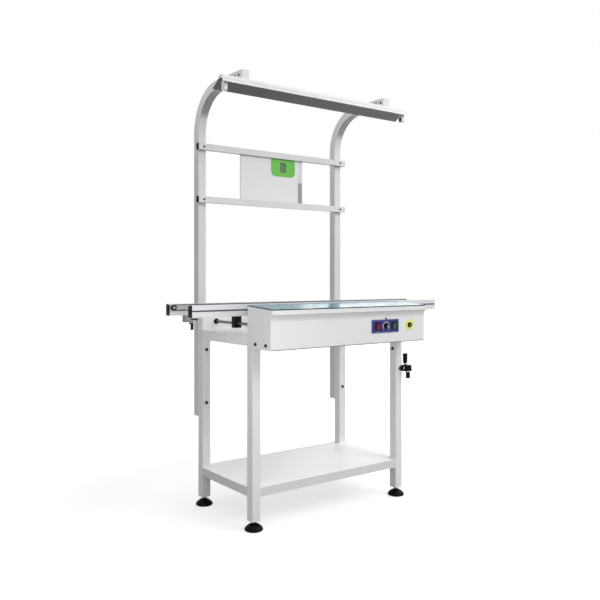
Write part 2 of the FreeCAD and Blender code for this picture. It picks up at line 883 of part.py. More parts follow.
def rocker(x, tilt):
    """Rocker with a slightly hollow face, tipped about the pins that turn in its housing."""
    half_x = switch_width / 2 - rocker_wall - rocker_side_gap
    half_z = switch_height / 2 - rocker_wall / 2 - 2 * rocker_side_gap
    z = panel_z
    outline = [
        V(x - half_x, bezel_front - rocker_proud, z + half_z),
        V(x - half_x, bezel_front - rocker_proud + rocker_hollow, z),
        V(x - half_x, bezel_front - rocker_proud, z - half_z),
        V(x - half_x, bezel_front + rocker_back / 3, z - half_z),
        V(x - half_x, bezel_front + rocker_back, z - half_z / 3),
        V(x - half_x, bezel_front + rocker_back, z + half_z / 3),
        V(x - half_x, bezel_front + rocker_back / 3, z + half_z),
    ]
    pivot = V(x, rocker_pivot_y, z)
    reach = AXIS_X * (half_x + rocker_side_gap + rocker_pin_length)
    pins = rod(rocker_pin_radius, pivot - reach, pivot + reach)
    body = polygon_prism(outline, AXIS_X * (2 * half_x)).fuse(pins)
    body.rotate(pivot, AXIS_X, tilt)
    return body


def speed_knob():
    """Turned knob on its spindle, hollow underneath to clear the bush."""
    base = panel_front - knob_lift
    top = base - knob_height
    skirt = rod_y(knob_radius, screw_x, panel_z, base, base - knob_height / 3)
    cap = rod_y(knob_radius * 0.78, screw_x, panel_z, base - knob_height / 3, top)
    front_rim = [e for e in circles(cap) if abs(e.Curve.Center.y - top) < 1e-6]
    cap = cap.makeFillet(knob_height / 10, front_rim)
    recess_end = bezel_front - knob_lift
    recess = rod_y(bush_radius + 2 * hole_gap, screw_x, panel_z, recess_end, base)
    spindle = rod_y(spindle_radius, screw_x, panel_z, recess_end, face_back + potentiometer_depth / 2)
    return skirt.fuse(cap).cut(recess).fuse(spindle)


def ground_point():
    """Disc on the cabinet face and the jack through it."""
    disc_front = cabinet_face - ground_disc_sheet
    disc = rod_y(ground_disc_radius, ground_x, panel_z, disc_front, cabinet_face)
    disc = disc.cut(rod_y(jack_body_radius + hole_gap, ground_x, panel_z, disc_front, cabinet_face))
    front = disc_front - jack_flange
    flange = rod_y(jack_flange_radius, ground_x, panel_z, front, disc_front)
    body = rod_y(jack_body_radius, ground_x, panel_z, disc_front, disc_front + jack_body_length)
    bore = rod_y(jack_bore_radius, ground_x, panel_z, front, front + jack_bore_depth)
    return group([disc, flange.fuse(body).cut(bore)])


# Rails, belts and pulleys. side is +1 on the front rail and -1 on the rear rail: the way from the
# rail's outer face to its inner face, where the belt runs.

RAILS = {"front": (front_rail_outer, 1), "rear": (rear_rail_outer, -1)}
END_PULLEY_XS = {"left": -pulley_x, "right": pulley_x}
IDLER_XS = {"left": drive_x - idler_shift, "right": drive_x + idler_shift}


def across_rail(outer, side, depth0, depth1, x0, x1, z0, z1):
    """Box between two depths from the rail's outer face."""
    ys = sorted((outer + side * depth0, outer + side * depth1))
    return box(x0, x1, ys[0], ys[1], z0, z1)


def axle_places():
    ends = [(x, pulley_z) for x in END_PULLEY_XS.values()]
    return ends + [(x, idler_z) for x in IDLER_XS.values()]


def rail(outer, side):
    """Extruded profile with a T slot outside, a belt recess inside and a ledge under the belt."""
    slot_z = rail_bottom + slot_rise
    half_mouth = slot_mouth / 2
    half_slot = slot_width / 2
    section = [
        (0, rail_bottom), (rail_depth, rail_bottom), (rail_depth, recess_bottom), (rail_body, recess_bottom),
        (rail_body, transport_height), (0, transport_height),
        (0, slot_z + half_mouth), (slot_lip, slot_z + half_mouth), (slot_lip, slot_z + half_slot),
        (slot_depth, slot_z + half_slot), (slot_depth, slot_z - half_slot),
        (slot_lip, slot_z - half_slot), (slot_lip, slot_z - half_mouth), (0, slot_z - half_mouth),
    ]
    points = [V(-half_profile, outer + side * depth, z) for depth, z in section]
    profile = polygon_prism(points, AXIS_X * (2 * half_profile))
    ledge_top = pulley_z + end_pulley_radius + free_gap - ledge_gap
    ledge_end = pulley_x - end_pulley_radius - 2 * pulley_flange
    ledge_depth = rail_body + belt_offset + belt_width
    profile = profile.fuse(across_rail(outer, side, rail_body, ledge_depth, -ledge_end, ledge_end,
                                       ledge_top - ledge_thickness, ledge_top))
    well = idler_shift + idler_radius + 2 * pulley_flange
    tools = [across_rail(outer, side, rail_body, rail_depth, drive_x - well, drive_x + well,
                         rail_bottom, recess_bottom)]
    inner_face = outer + side * rail_body
    for x, z in axle_places():
        tools.append(rod_y(axle_radius + running_gap, x, z, inner_face, inner_face - side * axle_length))
    return cut_all(profile, tools).removeSplitter()


def rail_ends(outer, side):
    """Plates on both ends of the rail, cut down to the belt where boards pass."""
    plates = []
    for x in (-rail_length / 2, half_profile):
        plate = across_rail(outer, side, 0, rail_depth, x, x + end_plate, rail_bottom, transport_height)
        way = across_rail(outer, side, rail_body, rail_depth, x, x + end_plate,
                          transport_height - belt_drop - free_gap, transport_height)
        plates.append(plate.cut(way))
    return group(plates)


def belt_wire(y, lift):
    """Belt line at a height above its inner face: round the ends, over the idlers, under the drive pulley."""
    end = end_pulley_radius + free_gap + lift
    turn = idler_radius + free_gap + belt_thickness - lift
    drive = drive_pulley_radius + free_gap + lift
    left = IDLER_XS["left"]
    right = IDLER_XS["right"]
    bend = math.sqrt(0.5) * turn

    def at(x, z):
        return V(x, y, z)

    def arc(a, b, c):
        return Part.Arc(a, b, c).toShape()

    top = pulley_z + end
    low = pulley_z - end
    return Part.Wire([
        line(at(-pulley_x, top), at(pulley_x, top)),
        arc(at(pulley_x, top), at(pulley_x + end, pulley_z), at(pulley_x, low)),
        line(at(pulley_x, low), at(right, low)),
        arc(at(right, idler_z + turn), at(right - bend, idler_z + bend), at(right - turn, idler_z)),
        line(at(right - turn, idler_z), at(drive_x + drive, drive_z)),
        arc(at(drive_x + drive, drive_z), at(drive_x, drive_z - drive), at(drive_x - drive, drive_z)),
        line(at(drive_x - drive, drive_z), at(left + turn, idler_z)),
        arc(at(left + turn, idler_z), at(left + bend, idler_z + bend), at(left, idler_z + turn)),
        line(at(left, low), at(-pulley_x, low)),
        arc(at(-pulley_x, low), at(-pulley_x - end, pulley_z), at(-pulley_x, top)),
    ])


def belt(outer, side):
    y = outer + side * (rail_body + belt_offset)
    across = AXIS_Y * (side * belt_width)
    outside = Part.Face(belt_wire(y, belt_thickness)).extrude(across)
    inside = Part.Face(belt_wire(y, 0)).extrude(across)
    return outside.cut(inside)


def pulley_disc(outer, side, x, z, radius):
    """Plain disc with one flange, between the rail's recess face and its inner edge."""
    near = outer + side * (rail_body + free_gap)
    edge = outer + side * (rail_body + belt_offset + belt_width + free_gap)
    disc = rod_y(radius, x, z, near, edge)
    return disc.fuse(rod_y(radius + pulley_flange, x, z, edge, edge + side * pulley_flange_width))


def idle_pulley(outer, side, x, z, radius):
    """Pulley on a stub axle that turns in the rail."""
    near = outer + side * (rail_body + free_gap)
    stub_end = outer + side * (rail_body - axle_length + free_gap)
    return pulley_disc(outer, side, x, z, radius).fuse(rod_y(axle_radius, x, z, near, stub_end))


def drive_pulley(outer, side):
    """Pulley with a hub that turns in the bracket and a hexagonal bore that slides along the drive shaft."""
    near = outer + side * (rail_body + free_gap)
    hub = rod_y(drive_hub_radius, drive_x, drive_z, outer, near)
    solid = pulley_disc(outer, side, drive_x, drive_z, drive_pulley_radius).fuse(hub)
    far = outer + side * rail_depth
    start = V(drive_x, outer, drive_z)
    bore = hex_prism(drive_hex + 2 * hole_gap, start, V(drive_x, far, drive_z), AXIS_Z)
    return solid.cut(bore)


# Drive and width adjustment

def drive_shaft():
    """Hexagonal shaft with a rear journal, its coupling and the motor's output shaft."""
    coupling_front = motor_plate_front + motor_plate + free_gap
    coupling_middle = coupling_front + coupling_length / 2
    hex_end = flange_front - free_gap
    bar = hex_prism(drive_hex, V(drive_x, coupling_middle, drive_z), V(drive_x, hex_end, drive_z), AXIS_Z)
    journal = rod_y(journal_radius, drive_x, drive_z, hex_end, support_beam_front + beam_wall)
    coupling = rod_y(coupling_radius, drive_x, drive_z, coupling_front, coupling_front + coupling_length)
    socket = hex_prism(drive_hex, V(drive_x, coupling_middle, drive_z),
                       V(drive_x, coupling_front + coupling_length, drive_z), AXIS_Z)
    motor_bore = rod_y(motor_shaft_radius, drive_x, drive_z, coupling_front, coupling_middle)
    shaft_front = motor_plate_front - gearbox_depth / 2
    motor_shaft = rod_y(motor_shaft_radius, drive_x, drive_z, shaft_front, coupling_middle)
    return group([bar.fuse(journal), coupling.cut(socket).cut(motor_bore), motor_shaft])


def drive_motor():
    """Gearbox on the plate with the motor in front of it."""
    half = gearbox_width / 2
    rear = motor_plate_front
    front = rear - gearbox_depth
    gearbox = box(drive_x - half, drive_x + half, front, rear, drive_z - half, drive_z + half)
    gearbox = gearbox.makeFillet(half / 6, long_edges(gearbox, AXIS_Y))
    bore = rod_y(motor_shaft_radius + running_gap, drive_x, drive_z, front, rear)
    motor = rod_y(motor_radius, drive_x, drive_z, front - motor_length, front)
    return group([gearbox.cut(bore), motor])


def motor_bracket():
    """Angle on the bed plate that carries the gearbox."""
    half = gearbox_width / 2 + motor_plate_margin
    rear = motor_plate_front + motor_plate
    upright = box(drive_x - half, drive_x + half, motor_plate_front, rear, bed_top, drive_z + half)
    foot_end = cabinet_rear - cabinet_flange / 2
    foot = box(drive_x - half, drive_x + half, rear, foot_end, bed_top, bed_top + motor_plate)
    hole = rod_y(coupling_radius + free_gap, drive_x, drive_z, motor_plate_front, rear)
    return upright.cut(hole).fuse(foot).removeSplitter()


def guide_shafts():
    places = (-guide_x, guide_x)
    return group([rod_y(guide_radius, x, shaft_z, front_rail_outer, support_beam_front) for x in places])


def guide_hole(x, y0, y1):
    return rod_y(guide_radius + running_gap, x, shaft_z, y0, y1)


def screw_hole_y(y0, y1):
    return rod_y(screw_radius + running_gap, screw_x, screw_z, y0, y1)


def hub_hole(y0, y1):
    return rod_y(drive_hub_radius + running_gap, drive_x, drive_z, y0, y1)


def block_under_rail(x, width, low, outer, side, depth):
    return across_rail(outer, side, 0, depth, x - width / 2, x + width / 2, low, rail_bottom)


def drive_bracket(outer, side):
    low = drive_z - drive_hub_radius * 2
    block = block_under_rail(drive_x, drive_bracket_width, low, outer, side, rail_body)
    return block.cut(hub_hole(outer, outer + side * rail_body))


def screw_block(outer, side):
    block = block_under_rail(screw_x, screw_block_width, screw_z - screw_block_below, outer, side, rail_depth)
    return block.cut(screw_hole_y(outer, outer + side * rail_depth))


def shaft_supports():
    """Blocks under the front rail, and the flanges on the rear support beam."""
    outer, side = RAILS["front"]
    pieces = [drive_bracket(outer, side), screw_block(outer, side)]
    for x in (-guide_x, guide_x):
        post = block_under_rail(x, support_width, bed_top, outer, side, rail_depth)
        pieces.append(post.cut(guide_hole(x, front_rail_outer, front_rail_inner)))
        flange = rod_y(flange_radius, x, shaft_z, flange_front, support_beam_front)
        pieces.append(flange.cut(guide_hole(x, flange_front, support_beam_front)))
    screw_flange = rod_y(flange_radius, screw_x, screw_z, flange_front, support_beam_front)
    journal_hole = rod_y(journal_radius + running_gap, screw_x, screw_z, flange_front, support_beam_front)
    drive_flange = rod_y(drive_flange_radius, drive_x, drive_z, flange_front, support_beam_front)
    drive_hole = rod_y(journal_radius + running_gap, drive_x, drive_z, flange_front, support_beam_front)
    return group(pieces + [screw_flange.cut(journal_hole), drive_flange.cut(drive_hole)])


def bearing_block(x, width, low):
    """Block behind the rear rail's inner face."""
    return box(x - width / 2, x + width / 2, rear_rail_inner, rear_rail_inner + carriage_depth, low, rail_bottom)


def carriage_blocks():
    """Bearing blocks, screw nut block and drive bracket under the rear rail."""
    outer, side = RAILS["rear"]
    pieces = [drive_bracket(outer, side), screw_block(outer, side)]
    for x in (-guide_x, guide_x):
        block = bearing_block(x, carriage_width, shaft_z - carriage_below_shaft)
        top = bearing_block(x, carriage_flange_width, rail_bottom - carriage_flange)
        pieces.append(block.fuse(top).removeSplitter().cut(guide_hole(x, rear_rail_inner, rear_rail_outer)))
    return group(pieces)


def rear_support_beam():
    """Closed box beam on the bed plate behind the rear rail."""
    half = half_frame - beam_inset
    w = beam_wall
    outer = box(-half, half, support_beam_front, frame_rear, bed_top, support_beam_top)
    inner = box(w - half, half - w, support_beam_front + w, frame_rear - w, bed_top + w, support_beam_top - w)
    holes = [rod_y(journal_radius + running_gap, x, z, support_beam_front, support_beam_front + w)
             for x, z in ((screw_x, screw_z), (drive_x, drive_z))]
    return cut_all(outer.cut(inner), holes)


def lead_screw():
    """Screw of the width adjustment, with a hexagonal socket behind the hole in the cabinet face."""
    front = face_back + screw_behind_face
    thread_end = flange_front - free_gap
    thread = rod_y(screw_radius, screw_x, screw_z, front, thread_end)
    journal = rod_y(journal_radius, screw_x, screw_z, thread_end, support_beam_front + beam_wall)
    mouth = V(screw_x, front, screw_z)
    socket = hex_prism(screw_hex, mouth, mouth + AXIS_Y * screw_hex_depth, AXIS_Z)
    return thread.fuse(journal).cut(socket)


# Electrics

def inlet_y():
    return (face_back + frame_front) / 2


def speed_controller():
    y = (face_back + frame_front) / 2
    case = box(controller_x - controller_width / 2, controller_x + controller_width / 2,
               y - controller_depth / 2, y + controller_depth / 2, floor_top, floor_top + controller_height)
    return case.makeFillet(cabinet_sheet, long_edges(case, AXIS_Z))


def power_inlet():
    """Appliance inlet let into the cabinet floor, its socket facing down."""
    y = inlet_y()
    half_x = inlet_width / 2
    half_y = inlet_depth / 2
    m = inlet_flange_margin
    k = inlet_socket_margin
    flange = box(inlet_x - half_x - m, inlet_x + half_x + m, y - half_y - m, y + half_y + m,
                 floor_bottom - inlet_flange, floor_bottom)
    body = box(inlet_x - half_x, inlet_x + half_x, y - half_y, y + half_y,
               floor_bottom, floor_bottom + inlet_height)
    socket = box(inlet_x - half_x + k, inlet_x + half_x - k, y - half_y + k, y + half_y - k,
                 floor_bottom - inlet_flange, floor_bottom - inlet_flange + inlet_socket_depth)
    return flange.fuse(body).cut(socket)


def board_sensor():
    """Bracket under the left end of the front rail with the sensor head below it."""
    outer, side = RAILS["front"]
    x = sensor_inset - half_profile
    y = outer + side * sensor_setback
    head_top = rail_bottom - sensor_bracket
    bracket = box(x - sensor_bracket_width / 2, x + sensor_bracket_width / 2,
                  y - sensor_bracket_depth / 2, y + sensor_bracket_depth / 2, head_top, rail_bottom)
    head_x = x + sensor_head_offset
    y0 = y - sensor_depth / 2
    y1 = y + sensor_depth / 2
    head = box(head_x - sensor_width / 2, head_x + sensor_width / 2, y0, y1, head_top - sensor_height, head_top)
    head = head.makeFillet(sensor_depth / 8, long_edges(head, AXIS_Z))
    flange = box(x - sensor_bracket_width / 2, head_x, y0, y1, head_top - sensor_flange, head_top)
    return group([bracket, head.fuse(flange).removeSplitter()])


def sensor_reflector():
    outer, side = RAILS["rear"]
    x = reflector_block_inset - half_profile
    low = rail_bottom - reflector_block_height
    return block_under_rail(x, reflector_block_width, low, outer, side, rail_depth)


# Width crank, parked on the right front leg

def crank_holder():
    """Angle on the leg's front face, with a sleeve under it that the crank's bit hangs in."""
    low = crank_rest_height - holder_lug
    high = crank_rest_height + holder_flange_rise
    middle = (low + high) / 2
    inner_x = leg_x + holder_taper
    outer_x = half_frame + holder_flange_out
    lug = box(inner_x, crank_x, crank_y - holder_lug_radius, frame_front, low, crank_rest_height)
    lug = lug.fuse(rod_z(holder_lug_radius, crank_x, crank_y, low, crank_rest_height))
    outline = [(leg_x, middle - holder_tip / 2), (inner_x, low), (outer_x, low), (outer_x, high),
               (inner_x, high), (leg_x, middle + holder_tip / 2)]
    flange = polygon_prism([V(x, frame_front, z) for x, z in outline], AXIS_Y * -holder_flange)
    sleeve = rod_z(sleeve_radius, crank_x, crank_y, low - sleeve_length, low)
    band_top = low - sleeve_band_drop
    band = rod_z(sleeve_radius + sleeve_band, crank_x, crank_y, band_top - sleeve_band_height, band_top)
    bore = rod_z(sleeve_bore_radius, crank_x, crank_y, low - sleeve_length, crank_rest_height)
    return lug.fuse(flange).fuse(sleeve).fuse(band).cut(bore).removeSplitter()


def crank():
    """Steel bit, and the hub, arm and grip pin above it."""
    bit = hex_prism(crank_bit_hex, V(crank_x, crank_y, crank_rest_height - crank_bit_length),
                    V(crank_x, crank_y, crank_rest_height), AXIS_X)
    hub = rod_z(crank_hub_radius, crank_x, crank_y, crank_rest_height, crank_rest_height + crank_hub_height)
    centre = V(crank_x, crank_y, arm_bottom)
    end = V(grip_x, grip_y, arm_bottom)
    along = end - centre
    sideways = FreeCAD.Vector(along).normalize().cross(AXIS_Z) * (crank_arm_width / 2)
    outline = [centre + sideways, end + sideways, end - sideways, centre - sideways]
    arm = polygon_prism(outline, AXIS_Z * crank_arm_height)
    eye = rod_z(crank_arm_width / 2, grip_x, grip_y, arm_bottom, arm_top)
    pin_top = grip_bottom + grip_height - grip_cap - free_gap
    pin = rod_z(grip_pin_radius, grip_x, grip_y, arm_top, pin_top)
    return group([bit, hub.fuse(arm).fuse(eye).fuse(pin)])


def crank_grip():
    """Tapered sleeve that turns on the crank's pin."""
    start = V(grip_x, grip_y, grip_bottom)
    sleeve = Part.makeCone(grip_foot_radius, grip_top_radius, grip_height, start, AXIS_Z)
    middle = grip_bottom + grip_height / 2
    top = [e for e in circles(sleeve) if e.Curve.Center.z > middle]
    sleeve = sleeve.makeFillet(grip_cap * 0.8, top)
    bore_top = grip_bottom + grip_height - grip_cap
    bore = rod_z(grip_pin_radius + running_gap, grip_x, grip_y, grip_bottom, bore_top)
    return sleeve.cut(bore)


def frame_bolts():
    """Bolts of the posts, legs, cabinet and end panels, and screws of the crossbars and lamp."""
    pieces = [frame_bolt(seat, AXIS_Y, tube + tube_wall) for seat in post_bolt_seats()]
    pieces += [frame_bolt(seat, way, tube_wall * 2) for seat, way in front_leg_bolt_seats()]
    pieces += [frame_bolt(seat, AXIS_Y, cabinet_sheet + tube_wall) for seat in floor_bolt_seats()]
    pieces += [frame_bolt(seat, way, screw_grip) for seat, way in end_panel_screw_seats()]
    pieces += [small_screw(seat, AXIS_Y, bar_depth + tube_wall) for seat in bar_screw_seats()]
    pieces += [small_screw(seat, AXIS_X, tube_wall * 2) for seat in lamp_screw_seats()]
    return group(pieces)


def build():
    os.makedirs("parts", exist_ok=True)
    makers = [
        legs, top_beams, bed_plate, shelf_tray, foot_nuts, crossbars, crossbar_plugs, document_pocket, pocket_tab,
        lamp_batten, lamp_reflector, lamp_holders, cabinet_front, cabinet_ends, cabinet_floor, work_mat,
        control_panel, switch_bodies, speed_knob, ground_point, drive_shaft, drive_motor, motor_bracket,
        guide_shafts, shaft_supports, carriage_blocks, rear_support_beam, lead_screw, speed_controller,
        power_inlet, board_sensor, sensor_reflector, crank_holder, crank, crank_grip, frame_bolts,
    ]
    for maker in makers:
        save(maker.__name__, maker())
    for x_name, x in (("left", -leg_x), ("right", leg_x)):
        for y_name, y in (("front", front_leg_y), ("rear", rear_leg_y)):
            save("foot_" + y_name + "_" + x_name, levelling_foot(x, y))
    save("lamp_post_left", lamp_post(-1))
    save("lamp_post_right", lamp_post(1))
    save("stop_rocker", rocker(switch_xs[0], rocker_tilt))
    save("start_rocker", rocker(switch_xs[1], rocker_tilt))
    for name, (outer, side) in RAILS.items():
        save(name + "_rail", rail(outer, side))
        save(name + "_rail_ends", rail_ends(outer, side))
        save(name + "_belt", belt(outer, side))
        save(name + "_drive_pulley", drive_pulley(outer, side))
        for place, x in END_PULLEY_XS.items():
            save(name + "_" + place + "_pulley", idle_pulley(outer, side, x, pulley_z, end_pulley_radius))
        for place, x in IDLER_XS.items():
            save(name + "_" + place + "_idler", idle_pulley(outer, side, x, idler_z, idler_radius))


build()
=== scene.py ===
import math
from collections import namedtuple

import bmesh
import bpy
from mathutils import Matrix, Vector


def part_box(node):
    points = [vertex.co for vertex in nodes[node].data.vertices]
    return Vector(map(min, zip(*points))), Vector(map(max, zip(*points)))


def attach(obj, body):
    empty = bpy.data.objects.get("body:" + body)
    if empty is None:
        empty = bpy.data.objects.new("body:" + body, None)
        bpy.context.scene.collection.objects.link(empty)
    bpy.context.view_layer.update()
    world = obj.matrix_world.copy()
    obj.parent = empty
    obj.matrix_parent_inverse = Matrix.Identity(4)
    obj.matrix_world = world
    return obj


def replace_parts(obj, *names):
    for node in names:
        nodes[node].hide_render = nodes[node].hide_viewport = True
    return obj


# Inspection conveyor bench for circuit boards. Sizes are millimetres in the frame of the model.

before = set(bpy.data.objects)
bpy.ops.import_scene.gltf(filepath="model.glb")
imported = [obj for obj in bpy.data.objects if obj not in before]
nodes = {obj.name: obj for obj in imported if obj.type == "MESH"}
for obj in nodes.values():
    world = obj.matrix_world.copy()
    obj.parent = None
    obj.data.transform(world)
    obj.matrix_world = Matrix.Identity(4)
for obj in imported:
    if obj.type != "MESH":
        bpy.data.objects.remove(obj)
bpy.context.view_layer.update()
MM = 0.001

AXIS_X = Vector((1, 0, 0))
AXIS_Y = Vector((0, 1, 0))
AXIS_Z = Vector((0, 0, 1))
SIDES = (-1, 1)
Corner = namedtuple("Corner", "x y z")


def node_box(name):
    """The low and the high corner of a node, in millimetres to one decimal."""
    return [Corner(*(round(value / MM, 1) for value in corner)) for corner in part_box(name)]


def node_middle(name):
    """The middle of a node's box, in millimetres to one decimal."""
    low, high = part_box(name)
    return Corner(*(round(value / MM, 1) for value in (low + high) / 2))


# Frame and gantry
LEGS_LOW, LEGS_HIGH = node_box("legs")
POST_LOW, POST_HIGH = node_box("lamp_post_right")
BARS_LOW, BARS_HIGH = node_box("crossbars")
HOLDERS_LOW, HOLDERS_HIGH = node_box("lamp_holders")
HALF_FRAME = LEGS_HIGH.x
TUBE = POST_HIGH.x - POST_LOW.x
LEG_X = HALF_FRAME - TUBE / 2
FRAME_FRONT = LEGS_LOW.y
FRAME_REAR = LEGS_HIGH.y
FRONT_LEG_Y = FRAME_FRONT + TUBE / 2
REAR_LEG_Y = FRAME_REAR - TUBE / 2
REAR_LEG_FRONT = FRAME_REAR - TUBE
LEG_BOLT_Z = 679.0
POST_BOLTS_Z = (455.0, 689.0)
BAR_FRONT = BARS_LOW.y
HALF_BAR = 14.0
BAR_SCREWS_Z = (BARS_LOW.z + HALF_BAR, BARS_HIGH.z - HALF_BAR)
LAMP_Y = node_middle("lamp_holders").y
LAMP_SCREWS_Y = (LAMP_Y + 18.0, LAMP_Y + 50.0)
LAMP_SCREW_Z = POST_HIGH.z - TUBE / 2
HOLDER_X = HOLDERS_HIGH.x - 16.0
HOLDER_Z = HOLDERS_LOW.z + 13.0

# Cabinet and controls
PANEL_LOW, PANEL_HIGH = node_box("control_panel")
PANEL_FRONT = PANEL_LOW.y
PANEL_X, _, PANEL_Z = node_middle("control_panel")
PANEL_SIZE = (PANEL_HIGH.x - PANEL_LOW.x, PANEL_HIGH.z - PANEL_LOW.z)
CABINET_END = node_box("cabinet_ends")[1].x
CABINET_FACE = PANEL_HIGH.y
CABINET_SCREWS_Y = (CABINET_FACE + 32.0, FRAME_FRONT - 30.0)
CABINET_SCREW_Z = 745.0
BACK_SCREWS_X = (-342.0, 0.0, 342.0)
BACK_SCREW_Y = FRAME_FRONT - 2.0
BACK_SCREW_Z = node_middle("top_beams").z
BEZEL_FRONT = node_box("switch_bodies")[0].y
STOP_X = node_middle("stop_rocker").x
START_X = node_middle("start_rocker").x
ROCKER_PIVOT_Y = BEZEL_FRONT + 3.0
KNOB_X = node_middle("speed_knob").x
KNOB_BASE = PANEL_FRONT - 0.5
GROUND_X = node_middle("ground_point").x
DISC_FRONT = CABINET_FACE - 1.0
SCREW_Z = node_middle("lead_screw").z

# Rails
RAIL_LOW, RAIL_HIGH = node_box("front_rail")
RAIL_OUTER = {"front": RAIL_LOW.y, "rear": node_box("rear_rail")[1].y}
RAIL_SIDE = {"front": 1, "rear": -1}
RAIL_BODY = {"front": "frame", "rear": "rear_rail_carriage"}
RAIL_DEPTH = RAIL_HIGH.y - RAIL_LOW.y
RAIL_END = RAIL_HIGH.x
RAIL_BOTTOM = RAIL_LOW.z
RAIL_TOP = RAIL_HIGH.z
PULLEY_X, _, PULLEY_Z = node_middle("front_right_pulley")

# Width crank
CRANK_LOW = node_box("crank")[0]
CRANK_HUB_RADIUS = 17.0
BIT_LENGTH = 34.0
CRANK_X = CRANK_LOW.x + CRANK_HUB_RADIUS
CRANK_Y = CRANK_LOW.y + CRANK_HUB_RADIUS
CRANK_REST = CRANK_LOW.z + BIT_LENGTH
CRANK_TURN = math.radians(62.0)
CRANK_REACH = 44.0
ARM_BOTTOM = CRANK_REST + 3.0
ARM_TOP = CRANK_REST + 17.0
GRIP_X = CRANK_X + CRANK_REACH * math.cos(CRANK_TURN)
GRIP_Y = CRANK_Y + CRANK_REACH * math.sin(CRANK_TURN)

# Document pocket
POCKET_LOW, POCKET_HIGH = node_box("document_pocket")
POCKET_FACE = POCKET_LOW.y
TAB_LOW = node_box("pocket_tab")[0]
TAB_X = node_middle("pocket_tab").x


# Shader nodes; the first line numbers the sockets of a colour mix

MIX_FACTOR, MIX_FIRST, MIX_SECOND, MIX_RESULT = 0, 6, 7, 2
NOISE_RANGE = (0.25, 0.75)
DRIFT_SCALE = 5.0
TWO_TONE_DRIFT_SCALE = 7.0
PATCH_SCALE = 22.0
LEAST_ROUGH = 0.02
USUAL_ROUGH_VARY = 0.06
GRAIN_DETAIL = 2.0
GRAIN_DEPTH = 0.0004
NO_STRETCH = (1.0, 1.0, 1.0)


def set_inputs(tree, node, inputs):
    """Gives each input a plain value or a link from another node's output."""
    for key, value in inputs.items():
        if isinstance(value, bpy.types.NodeSocket):
            tree.links.new(value, node.inputs[key])
        else:
            node.inputs[key].default_value = value


def add_node(tree, kind, inputs=None, **values):
    node = tree.nodes.new(kind)
    for key, value in values.items():
        setattr(node, key, value)
    set_inputs(tree, node, inputs or {})
    return node


def noise(tree, coords, scale, detail=3.0):
    inputs = {"Vector": coords, "Scale": scale, "Detail": detail}
    return add_node(tree, "ShaderNodeTexNoise", inputs).outputs["Fac"]


def map_range(tree, value, source, target, **values):
    """Maps a value from one pair of limits to another."""
    inputs = dict(zip(("From Min", "From Max", "To Min", "To Max"), source + target), Value=value)
    return add_node(tree, "ShaderNodeMapRange", inputs, **values).outputs["Result"]


def spread_noise(tree, coords, scale, low, high):
    """Noise that fills the range from low to high."""
    return map_range(tree, noise(tree, coords, scale), NOISE_RANGE, (low, high))


def mix_colours(tree, factor, first, second):
    inputs = {MIX_FACTOR: factor, MIX_FIRST: first, MIX_SECOND: second}
    return add_node(tree, "ShaderNodeMix", inputs, data_type="RGBA").outputs[MIX_RESULT]


def combine(tree, operation, first, second):
    return add_node(tree, "ShaderNodeMath", {0: first, 1: second}, operation=operation).outputs[0]


def above(tree, value, limit):
    return combine(tree, "GREATER_THAN", value, limit)


def invert(tree, value):
    return combine(tree, "SUBTRACT", 1.0, value)


def object_place(tree):
    return add_node(tree, "ShaderNodeTexCoord").outputs["Object"]


def object_coords(tree, stretch):
    inputs = {"Vector": object_place(tree), "Scale": stretch}
    return add_node(tree, "ShaderNodeMapping", inputs).outputs["Vector"]


def axis_value(tree, axis):
    """One object coordinate, in metres."""
    return add_node(tree, "ShaderNodeSeparateXYZ", {0: object_place(tree)}).outputs[axis]


def normal_height(tree):
    """How far the surface faces up, from -1 to 1."""
    normal = add_node(tree, "ShaderNodeNewGeometry").outputs["Normal"]
    return add_node(tree, "ShaderNodeSeparateXYZ", {0: normal}).outputs["Z"]


# Surfaces

def drifting(tree, drift, colour, vary):
    """Colour that drifts a little to both sides of the named one."""
    ends = [tuple(min(1.0, c * amount) for c in colour) + (1.0,) for amount in (1 - vary, 1 + vary)]
    return mix_colours(tree, drift, *ends)


def start_material(name):
    material = bpy.data.materials.new(name)
    material.use_nodes = True
    tree = material.node_tree
    return material, tree, tree.nodes["Principled BSDF"]


def finish_surface(tree, shader, coords, rough, rough_vary, grain, bump, metallic, coat, specular):
    """Sets the shader's plain values, uneven roughness and fine grain."""
    least = max(LEAST_ROUGH, rough - rough_vary)
    patches = spread_noise(tree, coords, PATCH_SCALE, least, rough + rough_vary)
    height = noise(tree, coords, grain, GRAIN_DETAIL)
    dents = add_node(tree, "ShaderNodeBump", {"Strength": bump, "Distance": GRAIN_DEPTH, "Height": height})
    set_inputs(tree, shader, {
        "Metallic": metallic, "Coat Weight": coat, "Specular IOR Level": specular,
        "Roughness": patches, "Normal": dents.outputs["Normal"],
    })


def surface(name, colour, rough, metallic=0.0, vary=0.04, rough_vary=USUAL_ROUGH_VARY, grain=900.0,
            bump=0.12, stretch=NO_STRETCH, coat=0.0, specular=0.5):
    """Material with slow colour drift, uneven roughness and a fine surface grain."""
    material, tree, shader = start_material(name)
    coords = object_coords(tree, stretch)
    drift = spread_noise(tree, coords, DRIFT_SCALE, 0.0, 1.0)
    set_inputs(tree, shader, {"Base Color": drifting(tree, drift, colour, vary)})
    finish_surface(tree, shader, coords, rough, rough_vary, grain, bump, metallic, coat, specular)
    return material


